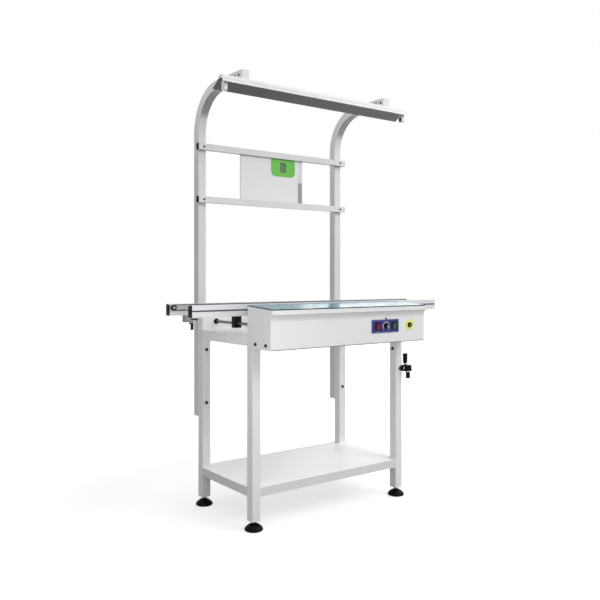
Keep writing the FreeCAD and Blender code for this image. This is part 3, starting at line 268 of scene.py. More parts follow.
def two_tone(name, mask, colour, other, rough, metallic=0.0, vary=0.04, grain=900.0,
             bump=0.1, stretch=NO_STRETCH, specular=0.5):
    """Material whose colour changes where a mask made from the object's own shape says so."""
    material, tree, shader = start_material(name)
    coords = object_coords(tree, stretch)
    drift = spread_noise(tree, coords, TWO_TONE_DRIFT_SCALE, 0.0, 1.0)
    tones = [drifting(tree, drift, tone, vary) for tone in (colour, other)]
    set_inputs(tree, shader, {"Base Color": mix_colours(tree, mask(tree), *tones)})
    finish_surface(tree, shader, coords, rough, USUAL_ROUGH_VARY, grain, bump, metallic, 0.0, specular)
    return material


# Masks: where a two-tone material changes; several place painted shade or painted light

FACES_DOWN = -0.02
FACES_UP = 0.7
ARCH_LEAN = (-0.36, -0.54)
COVE_LEAN = (-0.02, -0.25)
COVE_SHADE = 0.2
FOLD_HEIGHT = 3.4
FOLD_MARGIN = 1.0
SLOT_DEPTHS = (1.3, 7.3)
SLOT_Z = (RAIL_BOTTOM + 16.2, RAIL_BOTTOM + 31.8)
MAT_LOW, MAT_HIGH = node_box("work_mat")
MAT_FACE_X = (MAT_LOW.x + 3.0, MAT_HIGH.x - 3.0)
MAT_FACE_Y = (MAT_LOW.y + 3.2, MAT_HIGH.y - 2.0)
STRIP_TOP_Z = (1466.0, 1600.0)
SENSOR_HEAD_Z = (0.0, node_box("board_sensor")[0].z + 27.9)


def facing_down(tree):
    """1 on faces that point down, where the reflector's undersides get painted shade."""
    return invert(tree, above(tree, normal_height(tree), FACES_DOWN))


def facing_up(tree):
    """1 on faces that point up, where the shelf's top is painted lighter as painted light."""
    return above(tree, normal_height(tree), FACES_UP)


def overhang(tree):
    """Rises from 0 to 1 under the arches and bars of the gantry; painted shade on their undersides."""
    return map_range(tree, normal_height(tree), ARCH_LEAN, (0.0, 1.0))


def zone(tree, **limits):
    """1 where the object coordinates lie between the limits of each named axis."""
    total = None
    for axis, (low, high) in limits.items():
        value = axis_value(tree, axis)
        not_past = invert(tree, above(tree, value, high * MM))
        within = combine(tree, "MULTIPLY", above(tree, value, low * MM), not_past)
        total = within if total is None else combine(tree, "MULTIPLY", total, within)
    return total


def inside(**limits):
    """Mask of a single zone."""
    return lambda tree: zone(tree, **limits)


def rail_slot(tree):
    """1 inside the T slots on the outer faces of both rails, where painted shade darkens the slot walls."""
    slots = []
    for rail, side in RAIL_SIDE.items():
        limits = sorted(RAIL_OUTER[rail] + side * depth for depth in SLOT_DEPTHS)
        slots.append(zone(tree, Y=limits, Z=SLOT_Z))
    return combine(tree, "MAXIMUM", *slots)


def cabinet_shade(tree):
    """1 on the folded bottom edge of the cabinet's front sheet, a painted shadow line, and a little in its
    cove, painted shade.
    """
    bottom = node_box("cabinet_front")[0].z
    fold = zone(tree, Z=(bottom - FOLD_MARGIN, bottom + FOLD_HEIGHT))
    cove = map_range(tree, normal_height(tree), COVE_LEAN, (0.0, COVE_SHADE))
    return combine(tree, "MAXIMUM", fold, cove)


# Materials

WHITE = (0.80, 0.81, 0.815)
# The posts' and crossbars' white is the legs' paint darkened as painted shade; the arch colour is painted
# shade under their arches and bars
POST_SHADED_WHITE = (0.665, 0.672, 0.676)
ARCH_SHADE = (0.30, 0.303, 0.305)
# Painted shadow line along the cabinet's bottom fold
FOLD_SHADE = (0.20, 0.203, 0.205)
# The legs' white paint made lighter as painted light, for the bed plate and beams
PAINTED_LIGHT_WHITE = (0.92, 0.925, 0.93)
# Shelf: lip darker as painted shade, top lighter as painted light
SHELF_LIP_SHADED = (0.74, 0.75, 0.755)
SHELF_TOP_LIT = (0.93, 0.94, 0.95)
# Reflector: the under colour is painted shade on its downward faces
REFLECTOR_TOP = (0.70, 0.71, 0.715)
REFLECTOR_UNDER_SHADE = (0.115, 0.118, 0.122)
ALUMINIUM = (0.60, 0.61, 0.63)
# Painted shade inside the rails' T slots
SLOT_SHADE = (0.09, 0.09, 0.095)
PLASTIC_BLACK = (0.010, 0.010, 0.011)
MAT_RIM = (0.012, 0.03, 0.035)
MAT_FACE = (0.045, 0.19, 0.24)
SENSOR_BRACKET = (0.42, 0.43, 0.44)
STRIP_DARK = (0.30, 0.325, 0.33)
STRIP_LIGHT = (0.60, 0.61, 0.65)
POWDER = {"rough": 0.42, "vary": 0.01, "grain": 1500.0, "bump": 0.10}
MARK = {"rough": 0.45, "grain": 2500.0}

white_coat = surface("white_powder_coat", WHITE, rough_vary=0.04, **POWDER)
# Posts and crossbars: darker white as painted shade, and painted shade under the arches
post_shaded_coat = two_tone("post_powder_painted_shade", overhang, POST_SHADED_WHITE, ARCH_SHADE, **POWDER)
# Cabinet front: painted shadow line on its bottom fold and painted shade in its cove
cabinet_shaded_coat = two_tone("cabinet_powder_painted_shade", cabinet_shade, WHITE, FOLD_SHADE, **POWDER)
# Bed plate and beams: lighter white as painted light
painted_light_coat = surface("white_powder_painted_light", PAINTED_LIGHT_WHITE, rough_vary=0.04, **POWDER)
# Shelf: painted light on its top and painted shade on its lip
shelf_lit_coat = two_tone("white_shelf_painted_light", facing_up, SHELF_LIP_SHADED, SHELF_TOP_LIT, 0.5, vary=0.008, grain=1500.0,
                      bump=0.08, specular=0.2)
# Reflector: painted shade on its downward faces
reflector_shaded_coat = two_tone("reflector_grey", facing_down, REFLECTOR_TOP, REFLECTOR_UNDER_SHADE, 0.45)
holder_plastic = surface("lamp_holder_plastic", (0.76, 0.76, 0.75), 0.38, grain=1200.0)
# Rails: painted shade inside the T slots
rail_metal = two_tone("anodised_aluminium", rail_slot, ALUMINIUM, SLOT_SHADE, 0.36, metallic=0.7,
                      grain=420.0, stretch=(0.04, 1.0, 1.0))
turned_metal = surface("turned_aluminium", (0.34, 0.34, 0.35), 0.3, metallic=0.9, grain=1600.0, bump=0.15)
pulley_black = surface("pulley_black", (0.035, 0.035, 0.037), 0.4, metallic=0.3, grain=1600.0, bump=0.15,
                       specular=0.2)
steel = surface("bright_steel", (0.58, 0.59, 0.60), 0.24, metallic=1.0, grain=1400.0, bump=0.08)
dark_steel = surface("black_oxide", (0.030, 0.030, 0.032), 0.34, metallic=0.6, grain=1400.0, specular=0.2)
shaft_steel = surface("shaft_steel", (0.155, 0.16, 0.155), 0.32, metallic=0.9, grain=1500.0, bump=0.1,
                      stretch=(1.0, 0.06, 1.0))
black_block = surface("black_block", PLASTIC_BLACK, 0.42, grain=1100.0, specular=0.06)
black_plastic = surface("black_plastic", PLASTIC_BLACK, 0.46, grain=1800.0, bump=0.25, specular=0.05)
black_gloss = surface("black_gloss", (0.009, 0.009, 0.010), 0.2, grain=500.0, bump=0.05, specular=0.2)
foot_black = surface("foot_black", (0.006, 0.006, 0.007), 0.2, grain=700.0, bump=0.06, specular=0.05)
crank_paint = surface("crank_black", (0.007, 0.007, 0.008), 0.3, bump=0.1, specular=0.08)
belt_rubber = surface("belt_rubber", (0.030, 0.036, 0.036), 0.6, grain=2600.0, bump=0.4,
                      stretch=(1.0, 0.2, 1.0), specular=0.15)
motor_paint = surface("motor_grey", (0.22, 0.23, 0.24), 0.4, grain=800.0)
sensor_plastic = surface("sensor_grey", (0.25, 0.265, 0.265), 0.45, grain=1500.0, bump=0.2)
pocket_sheet = surface("pocket_clear", (0.76, 0.77, 0.775), 0.34, vary=0.012, rough_vary=0.02, grain=60.0,
                       bump=0.03, specular=0.3)
tab_print = surface("tab_green", (0.155, 0.535, 0.088), 0.36, vary=0.06, grain=300.0, bump=0.05,
                    specular=0.15)
panel_print = surface("panel_blue", (0.026, 0.038, 0.215), 0.42, vary=0.05, grain=2200.0, bump=0.15,
                      specular=0.2)
red_plastic = surface("rocker_red", (0.165, 0.006, 0.026), 0.22, vary=0.06, grain=500.0, bump=0.03,
                      specular=0.12)
green_plastic = surface("rocker_green", (0.008, 0.080, 0.056), 0.22, vary=0.06, grain=500.0, bump=0.03,
                        specular=0.25)
yellow_print = surface("ground_yellow", (0.90, 0.98, 0.21), 0.38, vary=0.05, grain=700.0, bump=0.05,
                       specular=0.3)
mark_white = surface("mark_white", (0.82, 0.82, 0.82), vary=0.03, **MARK)
mark_black = surface("mark_black", (0.02, 0.02, 0.02), vary=0.05, **MARK)
mark_grey = surface("mark_grey", (0.36, 0.36, 0.36), vary=0.03, **MARK)
brass = surface("contact_brass", (0.62, 0.46, 0.18), 0.28, metallic=1.0, grain=1500.0)
lens_red = surface("lens_red", (0.30, 0.012, 0.015), 0.1, vary=0.1, grain=300.0, bump=0.02, coat=0.5)
mat_rubber = two_tone("mat_green", inside(X=MAT_FACE_X, Y=MAT_FACE_Y), MAT_RIM, MAT_FACE, 0.25, vary=0.012,
                      grain=1600.0, bump=0.015, specular=0.07)
sensor_body = two_tone("sensor_black", inside(Z=SENSOR_HEAD_Z), SENSOR_BRACKET, PLASTIC_BLACK, 0.4,
                       grain=1500.0, bump=0.2, specular=0.15)
strip_grey = surface("strip_grey", STRIP_DARK, 0.3, vary=0.05, grain=800.0, coat=0.2)
strip_clear = two_tone("strip_clear", inside(Z=STRIP_TOP_Z), STRIP_DARK, STRIP_LIGHT, 0.3, vary=0.03,
                       grain=800.0)

TURNED_WHEELS = ("_drive_pulley", "_left_idler", "_right_idler")
BLACK_WHEELS = ("_left_pulley", "_right_pulley")
NODE_MATERIALS = {
    shelf_lit_coat: ["shelf_tray"],
    white_coat: ["legs", "lamp_batten", "cabinet_ends", "cabinet_floor"],
    post_shaded_coat: ["lamp_post_left", "lamp_post_right", "crossbars"],
    cabinet_shaded_coat: ["cabinet_front"],
    painted_light_coat: ["bed_plate", "top_beams", "rear_support_beam"],
    reflector_shaded_coat: ["lamp_reflector"],
    holder_plastic: ["lamp_holders"],
    rail_metal: ["front_rail", "rear_rail"],
    turned_metal: [rail + wheel for rail in RAIL_SIDE for wheel in TURNED_WHEELS],
    pulley_black: [rail + wheel for rail in RAIL_SIDE for wheel in BLACK_WHEELS],
    steel: ["lead_screw", "drive_shaft", "motor_bracket"],
    shaft_steel: ["guide_shafts"],
    dark_steel: ["frame_bolts", "foot_nuts"],
    black_block: ["carriage_blocks", "shaft_supports"],
    black_plastic: ["crossbar_plugs", "front_rail_ends", "rear_rail_ends", "power_inlet", "crank_grip"],
    sensor_body: ["board_sensor"],
    foot_black: ["foot_front_left", "foot_front_right", "foot_rear_left", "foot_rear_right"],
    black_gloss: ["switch_bodies", "speed_knob"],
    crank_paint: ["crank", "crank_holder"],
    belt_rubber: ["front_belt", "rear_belt"],
    pocket_sheet: ["document_pocket"],
    tab_print: ["pocket_tab"],
    mat_rubber: ["work_mat"],
    panel_print: ["control_panel"],
    red_plastic: ["stop_rocker"],
    green_plastic: ["start_rocker"],
    yellow_print: ["ground_point"],
    motor_paint: ["drive_motor", "speed_controller"],
    sensor_plastic: ["sensor_reflector"],
}
for material, names in NODE_MATERIALS.items():
    for node_name in names:
        mesh = nodes[node_name].data
        mesh.materials.clear()
        mesh.materials.append(material)


# Mesh building

MOSTLY_ALONG = 0.9
SMOOTH_ANGLE = 35.0
ROUNDING_STEPS = 2


def add_object(name, data):
    obj = bpy.data.objects.new(name, data)
    bpy.context.scene.collection.objects.link(obj)
    return obj


def add_piece(name, mesh, material, body):
    """Puts a mesh in the scene with its material, riding on its body."""
    mesh.materials.clear()
    mesh.materials.append(material)
    piece = add_object(name, mesh)
    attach(piece, body)
    return piece


def join_rings(rings):
    """Faces between rings of vertex numbers; a ring of one vertex is a point."""
    faces = []
    for low, high in zip(rings, rings[1:]):
        count = max(len(low), len(high))
        for i in range(count):
            j = (i + 1) % count
            if len(low) == 1:
                faces.append([low[0], high[j], high[i]])
            elif len(high) == 1:
                faces.append([low[i], low[j], high[0]])
            else:
                faces.append([low[i], low[j], high[j], high[i]])
    return faces


def round_edges(bm, edges, radius, steps):
    bmesh.ops.bevel(bm, geom=edges, offset=radius, segments=steps, profile=0.5, affect="EDGES")


class Shape:
    """Collects vertices and faces, in millimetres."""

    def __init__(self):
        self.verts = []
        self.faces = []

    def take(self, verts, faces):
        start = len(self.verts)
        self.verts += [Vector(v) for v in verts]
        self.faces += [[start + i for i in face] for face in faces]

    def take_bmesh(self, bm):
        bm.verts.index_update()
        self.take([v.co for v in bm.verts], [[v.index for v in f.verts] for f in bm.faces])
        bm.free()

    def lathe(self, profile, origin, axis, segments):
        """Turns (radius, height) pairs about an axis. A radius may be a function of the angle."""
        side = AXIS_X if abs(axis.x) < MOSTLY_ALONG else AXIS_Y
        u = (side - axis * side.dot(axis)).normalized()
        v = axis.cross(u)
        angles = [2 * math.pi * i / segments for i in range(segments)]
        rings = []
        verts = []
        for radius, height in profile:
            centre = Vector(origin) + axis * height
            if radius == 0:
                rings.append([len(verts)])
                verts.append(centre)
                continue
            rings.append(range(len(verts), len(verts) + segments))
            for a in angles:
                r = radius(a) if callable(radius) else radius
                verts.append(centre + (u * math.cos(a) + v * math.sin(a)) * r)
        self.take(verts, join_rings(rings))

    def block(self, low, high, radius):
        """Box with rounded edges."""
        bm = bmesh.new()
        bmesh.ops.create_cube(bm, size=1.0)
        low, high = Vector(low), Vector(high)
        for v in bm.verts:
            v.co = Vector(low[i] + (high[i] - low[i]) * (v.co[i] + 0.5) for i in range(3))
        round_edges(bm, list(bm.edges), radius, ROUNDING_STEPS)
        self.take_bmesh(bm)

    def prism(self, outline, along, radius=0.0, steps=ROUNDING_STEPS):
        """Solid between an outline and its copy. Both rims are rounded where a radius is given."""
        bm = bmesh.new()
        low = [bm.verts.new(Vector(p)) for p in outline]
        high = [bm.verts.new(Vector(p) + along) for p in outline]
        bm.faces.new(list(reversed(low)))
        bm.faces.new(high)
        count = len(outline)
        for i in range(count):
            j = (i + 1) % count
            bm.faces.new([low[i], low[j], high[j], high[i]])
        if radius > 0:
            rims = [e for e in bm.edges if (e.verts[0] in low) == (e.verts[1] in low)]
            round_edges(bm, rims, radius, steps)
        bmesh.ops.recalc_face_normals(bm, faces=bm.faces)
        self.take_bmesh(bm)

    def build(self, name, material, body, smooth=SMOOTH_ANGLE):
        mesh = bpy.data.meshes.new(name)
        mesh.from_pydata([v * MM for v in self.verts], [], self.faces)
        bm = bmesh.new()
        bm.from_mesh(mesh)
        bmesh.ops.recalc_face_normals(bm, faces=bm.faces)
        bm.to_mesh(mesh)
        bm.free()
        mesh.polygons.foreach_set("use_smooth", [True] * len(mesh.polygons))
        mesh.set_sharp_from_angle(angle=math.radians(smooth))
        return add_piece(name, mesh, material, body)


def turned(name, profile, origin, axis, segments, material, body):
    """Piece made of one turned profile."""
    shape = Shape()
    shape.lathe(profile, origin, axis, segments)
    return shape.build(name, material, body)


def hexagon(flats):
    """Radius of a hexagon at an angle."""
    def radius(angle):
        return flats / 2 / math.cos(angle % (math.pi / 3) - math.pi / 6)
    return radius


def fluted(radius, depth, count):
    """Radius of a round with flutes, at an angle."""
    return lambda angle: radius - depth * (0.5 + 0.5 * math.cos(angle * count))


# Outlines on the front, as (x, z) points; angles in degrees

def rectangle(left, right, bottom, top):
    return [(left, bottom), (right, bottom), (right, top), (left, top)]


def arc(centre, radius, first, last, steps):
    angles = [math.radians(first + (last - first) * i / steps) for i in range(steps + 1)]
    return [(centre[0] + radius * math.cos(a), centre[1] + radius * math.sin(a)) for a in angles]


def arc_band(centre, outer, inner, first, last, steps):
    """Four-cornered pieces of a band along an arc."""
    far = arc(centre, outer, first, last, steps)
    near = arc(centre, inner, first, last, steps)
    return [[far[i], far[i + 1], near[i + 1], near[i]] for i in range(steps)]


def outward(angle):
    """Direction at an angle on the front."""
    turn = math.radians(angle)
    return Vector((math.cos(turn), 0, math.sin(turn)))


def radial_bar(centre, angle, start, end, half_width):
    """Corners of a bar that points away from a centre."""
    away = outward(angle)
    across = Vector((-away.z, 0, away.x))
    corners = rectangle(start, end, -half_width, half_width)
    return [centre + away * reach + across * offset for reach, offset in corners]


def raise_print(shape, outline, y, height):
    """Adds flat print that stands out of a front face."""
    shape.prism([(x, y, z) for x, z in outline], AXIS_Y * -height)


# Screws: button heads with hexagonal sockets

# Head radius, head height and shank radius
LARGE_SCREW = (7.0, 5.0, 4.0)
SMALL_SCREW = (5.0, 2.5, 2.5)
HOLDER_SCREW = (4.0, 2.4, 2.0)
PLATE_SCREW = (3.2, 0.4, 1.2)
CLAMP_SCREW = (2.6, 1.6, 1.0)

# Width of the socket and of its rim, as shares of the head's radius
SOCKET_SHARE = 0.8
SOCKET_RIM_SHARE = 0.848

# Shank lengths
THROUGH_LEG = 42.0
THROUGH_BAR = 22.0
INTO_CABINET = 8.0
INTO_WALL = 4.0
INTO_HOLDER = 3.0
INTO_PLATE = 2.0


def socket_screw(shape, seat, direction, size, shank):
    """Adds a screw whose shank points in the direction."""
    radius, head, shank_radius = size
    key = hexagon(radius * SOCKET_SHARE)
    key_rim = hexagon(radius * SOCKET_RIM_SHARE)
    profile = [
        (0, shank), (shank_radius * 0.8, shank), (shank_radius, shank - 0.8), (shank_radius, 0),
        (radius, 0), (radius, -head * 0.35), (radius * 0.93, -head * 0.7), (radius * 0.78, -head * 0.93),
        (radius * 0.6, -head), (key_rim, -head), (key, -head * 0.92), (key, -head * 0.3), (0, -head * 0.3),
    ]
    shape.lathe(profile, seat, direction, 36)


def frame_screws():
    screws = Shape()
    for side in SIDES:
        post_x = side * LEG_X
        for z in POST_BOLTS_Z:
            socket_screw(screws, (post_x, REAR_LEG_FRONT, z), AXIS_Y, LARGE_SCREW, THROUGH_LEG)
        inner_face = side * (HALF_FRAME - TUBE)
        socket_screw(screws, (inner_face, FRONT_LEG_Y, LEG_BOLT_Z), AXIS_X * side, LARGE_SCREW, INTO_WALL)
        for z in BAR_SCREWS_Z:
            socket_screw(screws, (post_x, BAR_FRONT, z), AXIS_Y, SMALL_SCREW, THROUGH_BAR)
        for y in LAMP_SCREWS_Y:
            socket_screw(screws, (post_x - TUBE / 2, y, LAMP_SCREW_Z), AXIS_X, SMALL_SCREW, INTO_WALL)
        for y in CABINET_SCREWS_Y:
            seat = (side * CABINET_END, y, CABINET_SCREW_Z)
            socket_screw(screws, seat, AXIS_X * -side, LARGE_SCREW, INTO_CABINET)
    for x in BACK_SCREWS_X:
        socket_screw(screws, (x, BACK_SCREW_Y, BACK_SCREW_Z), AXIS_Y, LARGE_SCREW, INTO_WALL)
    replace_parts(screws.build("socket_screws", dark_steel, "frame"), "frame_bolts")


frame_screws()


# Levelling feet: sloping pad, neck and threaded stud

PAD_PROFILE = [
    (0, 0), (30.0, 0), (32.4, 0.3), (35.6, 1.8), (37.3, 4.0), (37.8, 6.4), (37.2, 8.0), (37.3, 8.9),
    (36.3, 11.0), (33.4, 14.4), (29.8, 18.0), (25.7, 21.4), (21.0, 24.6), (16.4, 27.0), (13.4, 28.0),
]
NECK_PROFILE = [(9.0, 28.1), (8.2, 28.6)]
STUD_TIP = [(4.4, 105.9), (0, 106.0)]
STUD_START = 29.0
STUD_END = 104.0
STUD_PITCH = 1.75
STUD_ROOT = 5.3
STUD_CREST = 6.0
STUD_FLANK = 0.7


def stud_thread():
    profile = []
    height = STUD_START
    while height < STUD_END:
        profile.append((STUD_ROOT, height))
        profile.append((STUD_CREST, height + STUD_FLANK))
        profile.append((STUD_ROOT, height + 2 * STUD_FLANK))
        height += STUD_PITCH
    return profile


def foot(name, x, y):
    profile = PAD_PROFILE + NECK_PROFILE + stud_thread() + STUD_TIP
    pad = turned(name + "_pad", profile, (x, y, 0), AXIS_Z, 48, foot_black, name)
    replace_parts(pad, name)


for x_name, x in (("left", -LEG_X), ("right", LEG_X)):
    for y_name, y in (("front", FRONT_LEG_Y), ("rear", REAR_LEG_Y)):
        foot("foot_" + y_name + "_" + x_name, x, y)


# Lead screw with its helical thread and hexagonal socket

LEAD_FRONT = CABINET_FACE + 10.0
LEAD_THREAD_END = REAR_LEG_FRONT - 4.3
LEAD_END = REAR_LEG_FRONT + 3.0
LEAD_PER_TURN = 10.0
LEAD_STARTS = 3
LEAD_STEP = 0.625
LEAD_SEGMENTS = 20
LEAD_RADIUS = 6.0
LEAD_GROOVE = 0.75
LEAD_FLANK_SLOPE = 3.0
LEAD_PLAIN_RADIUS = 5.9
LEAD_PLAIN_LENGTH = 38.0
LEAD_JOURNAL = 4.0
LEAD_SOCKET = 5.4
LEAD_SOCKET_DEPTH = 14.0
LEAD_SMOOTH_ANGLE = 50.0


def lead_radius(y, angle):
    """Radius of the thread at a place along the screw; plain near the cabinet's face."""
    if y < LEAD_FRONT + LEAD_PLAIN_LENGTH:
        return LEAD_PLAIN_RADIUS
    phase = ((y / LEAD_PER_TURN - angle / (2 * math.pi)) * LEAD_STARTS) % 1.0
    groove = min(1.0, max(0.0, LEAD_FLANK_SLOPE * abs(phase - 0.5) - 0.5))
    return LEAD_RADIUS - LEAD_GROOVE * groove


def lead_thread(shape):
    length = LEAD_THREAD_END - LEAD_FRONT
    rows = int(length / LEAD_STEP)
    angles = [2 * math.pi * i / LEAD_SEGMENTS for i in range(LEAD_SEGMENTS)]
    verts = []
    for row in range(rows + 1):
        y = LEAD_FRONT + length * row / rows
        for a in angles:
            r = lead_radius(y, a)
            verts.append((KNOB_X + r * math.cos(a), y, SCREW_Z + r * math.sin(a)))
    starts = range(0, len(verts), LEAD_SEGMENTS)
    shape.take(verts, join_rings([range(start, start + LEAD_SEGMENTS) for start in starts]))


def lead_screw():
    shape = Shape()
    lead_thread(shape)
    journal = LEAD_END - LEAD_THREAD_END
    shape.lathe([(LEAD_RADIUS, 0), (LEAD_JOURNAL, 0.2), (LEAD_JOURNAL, journal), (0, journal)],
                (KNOB_X, LEAD_THREAD_END, SCREW_Z), AXIS_Y, LEAD_SEGMENTS)
    key = hexagon(LEAD_SOCKET)
    shape.lathe([(LEAD_RADIUS, 0), (key, 0), (key, LEAD_SOCKET_DEPTH), (0, LEAD_SOCKET_DEPTH)],
                (KNOB_X, LEAD_FRONT, SCREW_Z), AXIS_Y, LEAD_SEGMENTS)
    thread = shape.build("width_screw_thread", steel, "width_screw", LEAD_SMOOTH_ANGLE)
    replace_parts(thread, "lead_screw")


lead_screw()


# Hole for the crank's bit: black ring

GROMMET_PROFILE = [(3.3, 2.2), (3.3, -0.3), (3.6, -0.7), (4.4, -0.7), (4.8, -0.3), (4.8, 0.02)]
turned("access_grommet", GROMMET_PROFILE, (KNOB_X, CABINET_FACE, SCREW_Z), AXIS_Y, 40,
       black_plastic, "frame")


# Speed knob: fluted cap with a dot and a bar on its skirt

KNOB_FLUTES = 24
KNOB_PROFILE = [
    (0, 8.5), (3.0, 8.5), (3.0, -1.9), (4.9, -1.9), (4.9, 0), (13.4, 0), (14.0, -0.5), (14.0, -2.3),
    (13.4, -2.9), (11.4, -3.1), (fluted(11.3, 0.7, KNOB_FLUTES), -3.8),
    (fluted(10.9, 0.7, KNOB_FLUTES), -7.6), (fluted(10.5, 0.2, KNOB_FLUTES), -8.4),
    (9.9, -8.9), (9.4, -9.0), (0, -8.8),
]
POINTER_ANGLE = -27
DOT_PROFILE = [(0, 0.4), (3.4, 0.38), (4.0, 0.25), (4.1, 0)]
DOT_REACH = 5.2
DOT_HEIGHT = 8.6
SKIRT_HEIGHT = 2.7
POINTER_REACH = (11.6, 13.7)
POINTER_HALF = 0.9
POINTER_HEIGHT = 0.4
POINTER_ROUNDING = 0.1


def speed_knob():
    centre = Vector((KNOB_X, KNOB_BASE, PANEL_Z))
    cap = turned("knob_fluted", KNOB_PROFILE, centre, AXIS_Y, 96, black_gloss, "speed_knob")
    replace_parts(cap, "speed_knob")
    mark = Shape()
    dot = centre + outward(POINTER_ANGLE) * DOT_REACH - AXIS_Y * DOT_HEIGHT
    mark.lathe(DOT_PROFILE, dot, AXIS_Y * -1, 28)
    bar = radial_bar(centre - AXIS_Y * SKIRT_HEIGHT, POINTER_ANGLE, *POINTER_REACH, POINTER_HALF)
    mark.prism(bar, AXIS_Y * -POINTER_HEIGHT, POINTER_ROUNDING)
    mark.build("knob_pointer", mark_white, "speed_knob")


speed_knob()


# Rockers: smooth hollow face, tipped about the pins, with I and O marks

ROCKER_TILT = math.radians(8.0)
ROCKER_HALF_X = 10.0
ROCKER_HALF_Z = 12.1
ROCKER_FACE = BEZEL_FRONT - 4.0
ROCKER_HOLLOW = 1.6
ROCKER_SHOULDER = BEZEL_FRONT + 3.0
ROCKER_BACK = BEZEL_FRONT + 9.0
ROCKER_STEPS = 14
ROCKER_ROUNDING = 0.5
PIN_RADIUS = 1.5
PIN_REACH = 12.0
I_MARK = rectangle(-0.5, 0.5, 4.6, 8.8)
O_MARK = arc_band((0, -6.6), 2.1, 1.3, 0, 360, 28)
MARK_SINK = 0.05
MARK_HEIGHT = 0.2


def tipped(x, y, z):
    """Place of a rocker's point after it tips; z is measured from the pins."""
    dy = y - ROCKER_PIVOT_Y
    return (x, ROCKER_PIVOT_Y + dy * math.cos(ROCKER_TILT) - z * math.sin(ROCKER_TILT),
            PANEL_Z + dy * math.sin(ROCKER_TILT) + z * math.cos(ROCKER_TILT))


def rocker_face(z):
    return ROCKER_FACE + ROCKER_HOLLOW * (1 - (z / ROCKER_HALF_Z) ** 2)


def rocker_cap(name, x, material):
    shape = Shape()
    heights = [ROCKER_HALF_Z - 2 * ROCKER_HALF_Z * i / ROCKER_STEPS for i in range(ROCKER_STEPS + 1)]
    side_view = [(rocker_face(z), z) for z in heights]
    side_view += [(ROCKER_SHOULDER, -ROCKER_HALF_Z), (ROCKER_BACK, -ROCKER_HALF_Z / 3),
                  (ROCKER_BACK, ROCKER_HALF_Z / 3), (ROCKER_SHOULDER, ROCKER_HALF_Z)]
    outline = [tipped(x - ROCKER_HALF_X, y, z) for y, z in side_view]
    shape.prism(outline, AXIS_X * (2 * ROCKER_HALF_X), ROCKER_ROUNDING)
    pins = [(0, -PIN_REACH), (PIN_RADIUS, -PIN_REACH), (PIN_RADIUS, PIN_REACH), (0, PIN_REACH)]
    shape.lathe(pins, (x, ROCKER_PIVOT_Y, PANEL_Z), AXIS_X, 16)
    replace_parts(shape.build(name + "_cap", material, name), name)


def rocker_marks(name, x):
    marks = Shape()
    normal = Vector(tipped(x, BEZEL_FRONT - 1.0, 0)) - Vector(tipped(x, BEZEL_FRONT, 0))
    for outline in [I_MARK] + O_MARK:
        corners = [tipped(x + dx, rocker_face(z) + MARK_SINK, z) for dx, z in outline]
        marks.prism(corners, normal * MARK_HEIGHT)
    marks.build(name + "_marks", mark_grey, name)


for name, x, material, slot in (("stop_rocker", STOP_X, red_plastic, "rocker_red"),
                                ("start_rocker", START_X, green_plastic, "rocker_green")):
    rocker_cap(name, x, material)
    rocker_marks(name, x)


# Control panel: white border, dial scale and switch words

PRINT_Y = PANEL_FRONT + 0.05
PRINT_HEIGHT = 0.15
WORD_Y = PANEL_FRONT - 0.02
WORD_DEPTH = 0.1
BORDER_INSET = 2.2
BORDER_WIDTH = 0.4
DIAL_START = 225
DIAL_END = -45
DIAL_STEP = 27
DIAL_TICKS = 11
DIAL_RADII = (18.4, 16.4)
DIAL_SEGMENTS = 54
TICK_REACH = (17.5, 20.6)
TICK_HALF = 0.4
DIGIT_REACH = 23.4
DIGIT_HEIGHT = 3.6
SWITCH_WORD_HEIGHT = 4.2
SWITCH_WORD_Z = PANEL_Z - 24.2


def panel_word(name, text, height, x, z):
    """Small raised print that reads from the front."""
    curve = bpy.data.curves.new(name, "FONT")
    curve.body = text
    curve.size = height * MM
    curve.align_x = "CENTER"
    curve.align_y = "CENTER"
    curve.extrude = WORD_DEPTH * MM
    temporary = bpy.data.objects.new(name + "_curve", curve)
    mesh = bpy.data.meshes.new_from_object(temporary)
    bpy.data.objects.remove(temporary)
    mesh.name = name
    for v in mesh.vertices:
        v.co = Vector((x * MM + v.co.x, WORD_Y * MM - v.co.z, z * MM + v.co.y))
    add_piece(name, mesh, mark_white, "frame")


def panel_border(shape):
    half_x, half_z = (size / 2 - BORDER_INSET for size in PANEL_SIZE)
    left, right, bottom, top = PANEL_X - half_x, PANEL_X + half_x, PANEL_Z - half_z, PANEL_Z + half_z
    for outline in (
        rectangle(left, right, top - BORDER_WIDTH, top),
        rectangle(left, right, bottom, bottom + BORDER_WIDTH),
        rectangle(left, left + BORDER_WIDTH, bottom, top),
        rectangle(right - BORDER_WIDTH, right, bottom, top),
    ):
        raise_print(shape, outline, PRINT_Y, PRINT_HEIGHT)


def dial_scale(shape):
    for outline in arc_band((KNOB_X, PANEL_Z), *DIAL_RADII, DIAL_START, DIAL_END, DIAL_SEGMENTS):
        raise_print(shape, outline, PRINT_Y, PRINT_HEIGHT)
    centre = Vector((KNOB_X, PRINT_Y, PANEL_Z))
    for i in range(DIAL_TICKS):
        angle = DIAL_START - DIAL_STEP * i
        shape.prism(radial_bar(centre, angle, *TICK_REACH, TICK_HALF), AXIS_Y * -PRINT_HEIGHT)
        if i % 2 == 0:
            place = centre + outward(angle) * DIGIT_REACH
            panel_word("dial_%d" % i, str(i), DIGIT_HEIGHT, place.x, place.z)


def panel_lines():
    lines = Shape()
    panel_border(lines)
    dial_scale(lines)
    lines.build("panel_lines", mark_white, "frame")


panel_lines()
panel_word("word_off", "OFF", SWITCH_WORD_HEIGHT, STOP_X, SWITCH_WORD_Z)
panel_word("word_on", "ON", SWITCH_WORD_HEIGHT, START_X, SWITCH_WORD_Z)


# Ground point: yellow disc with a printed ring, and the ribbed jack in it

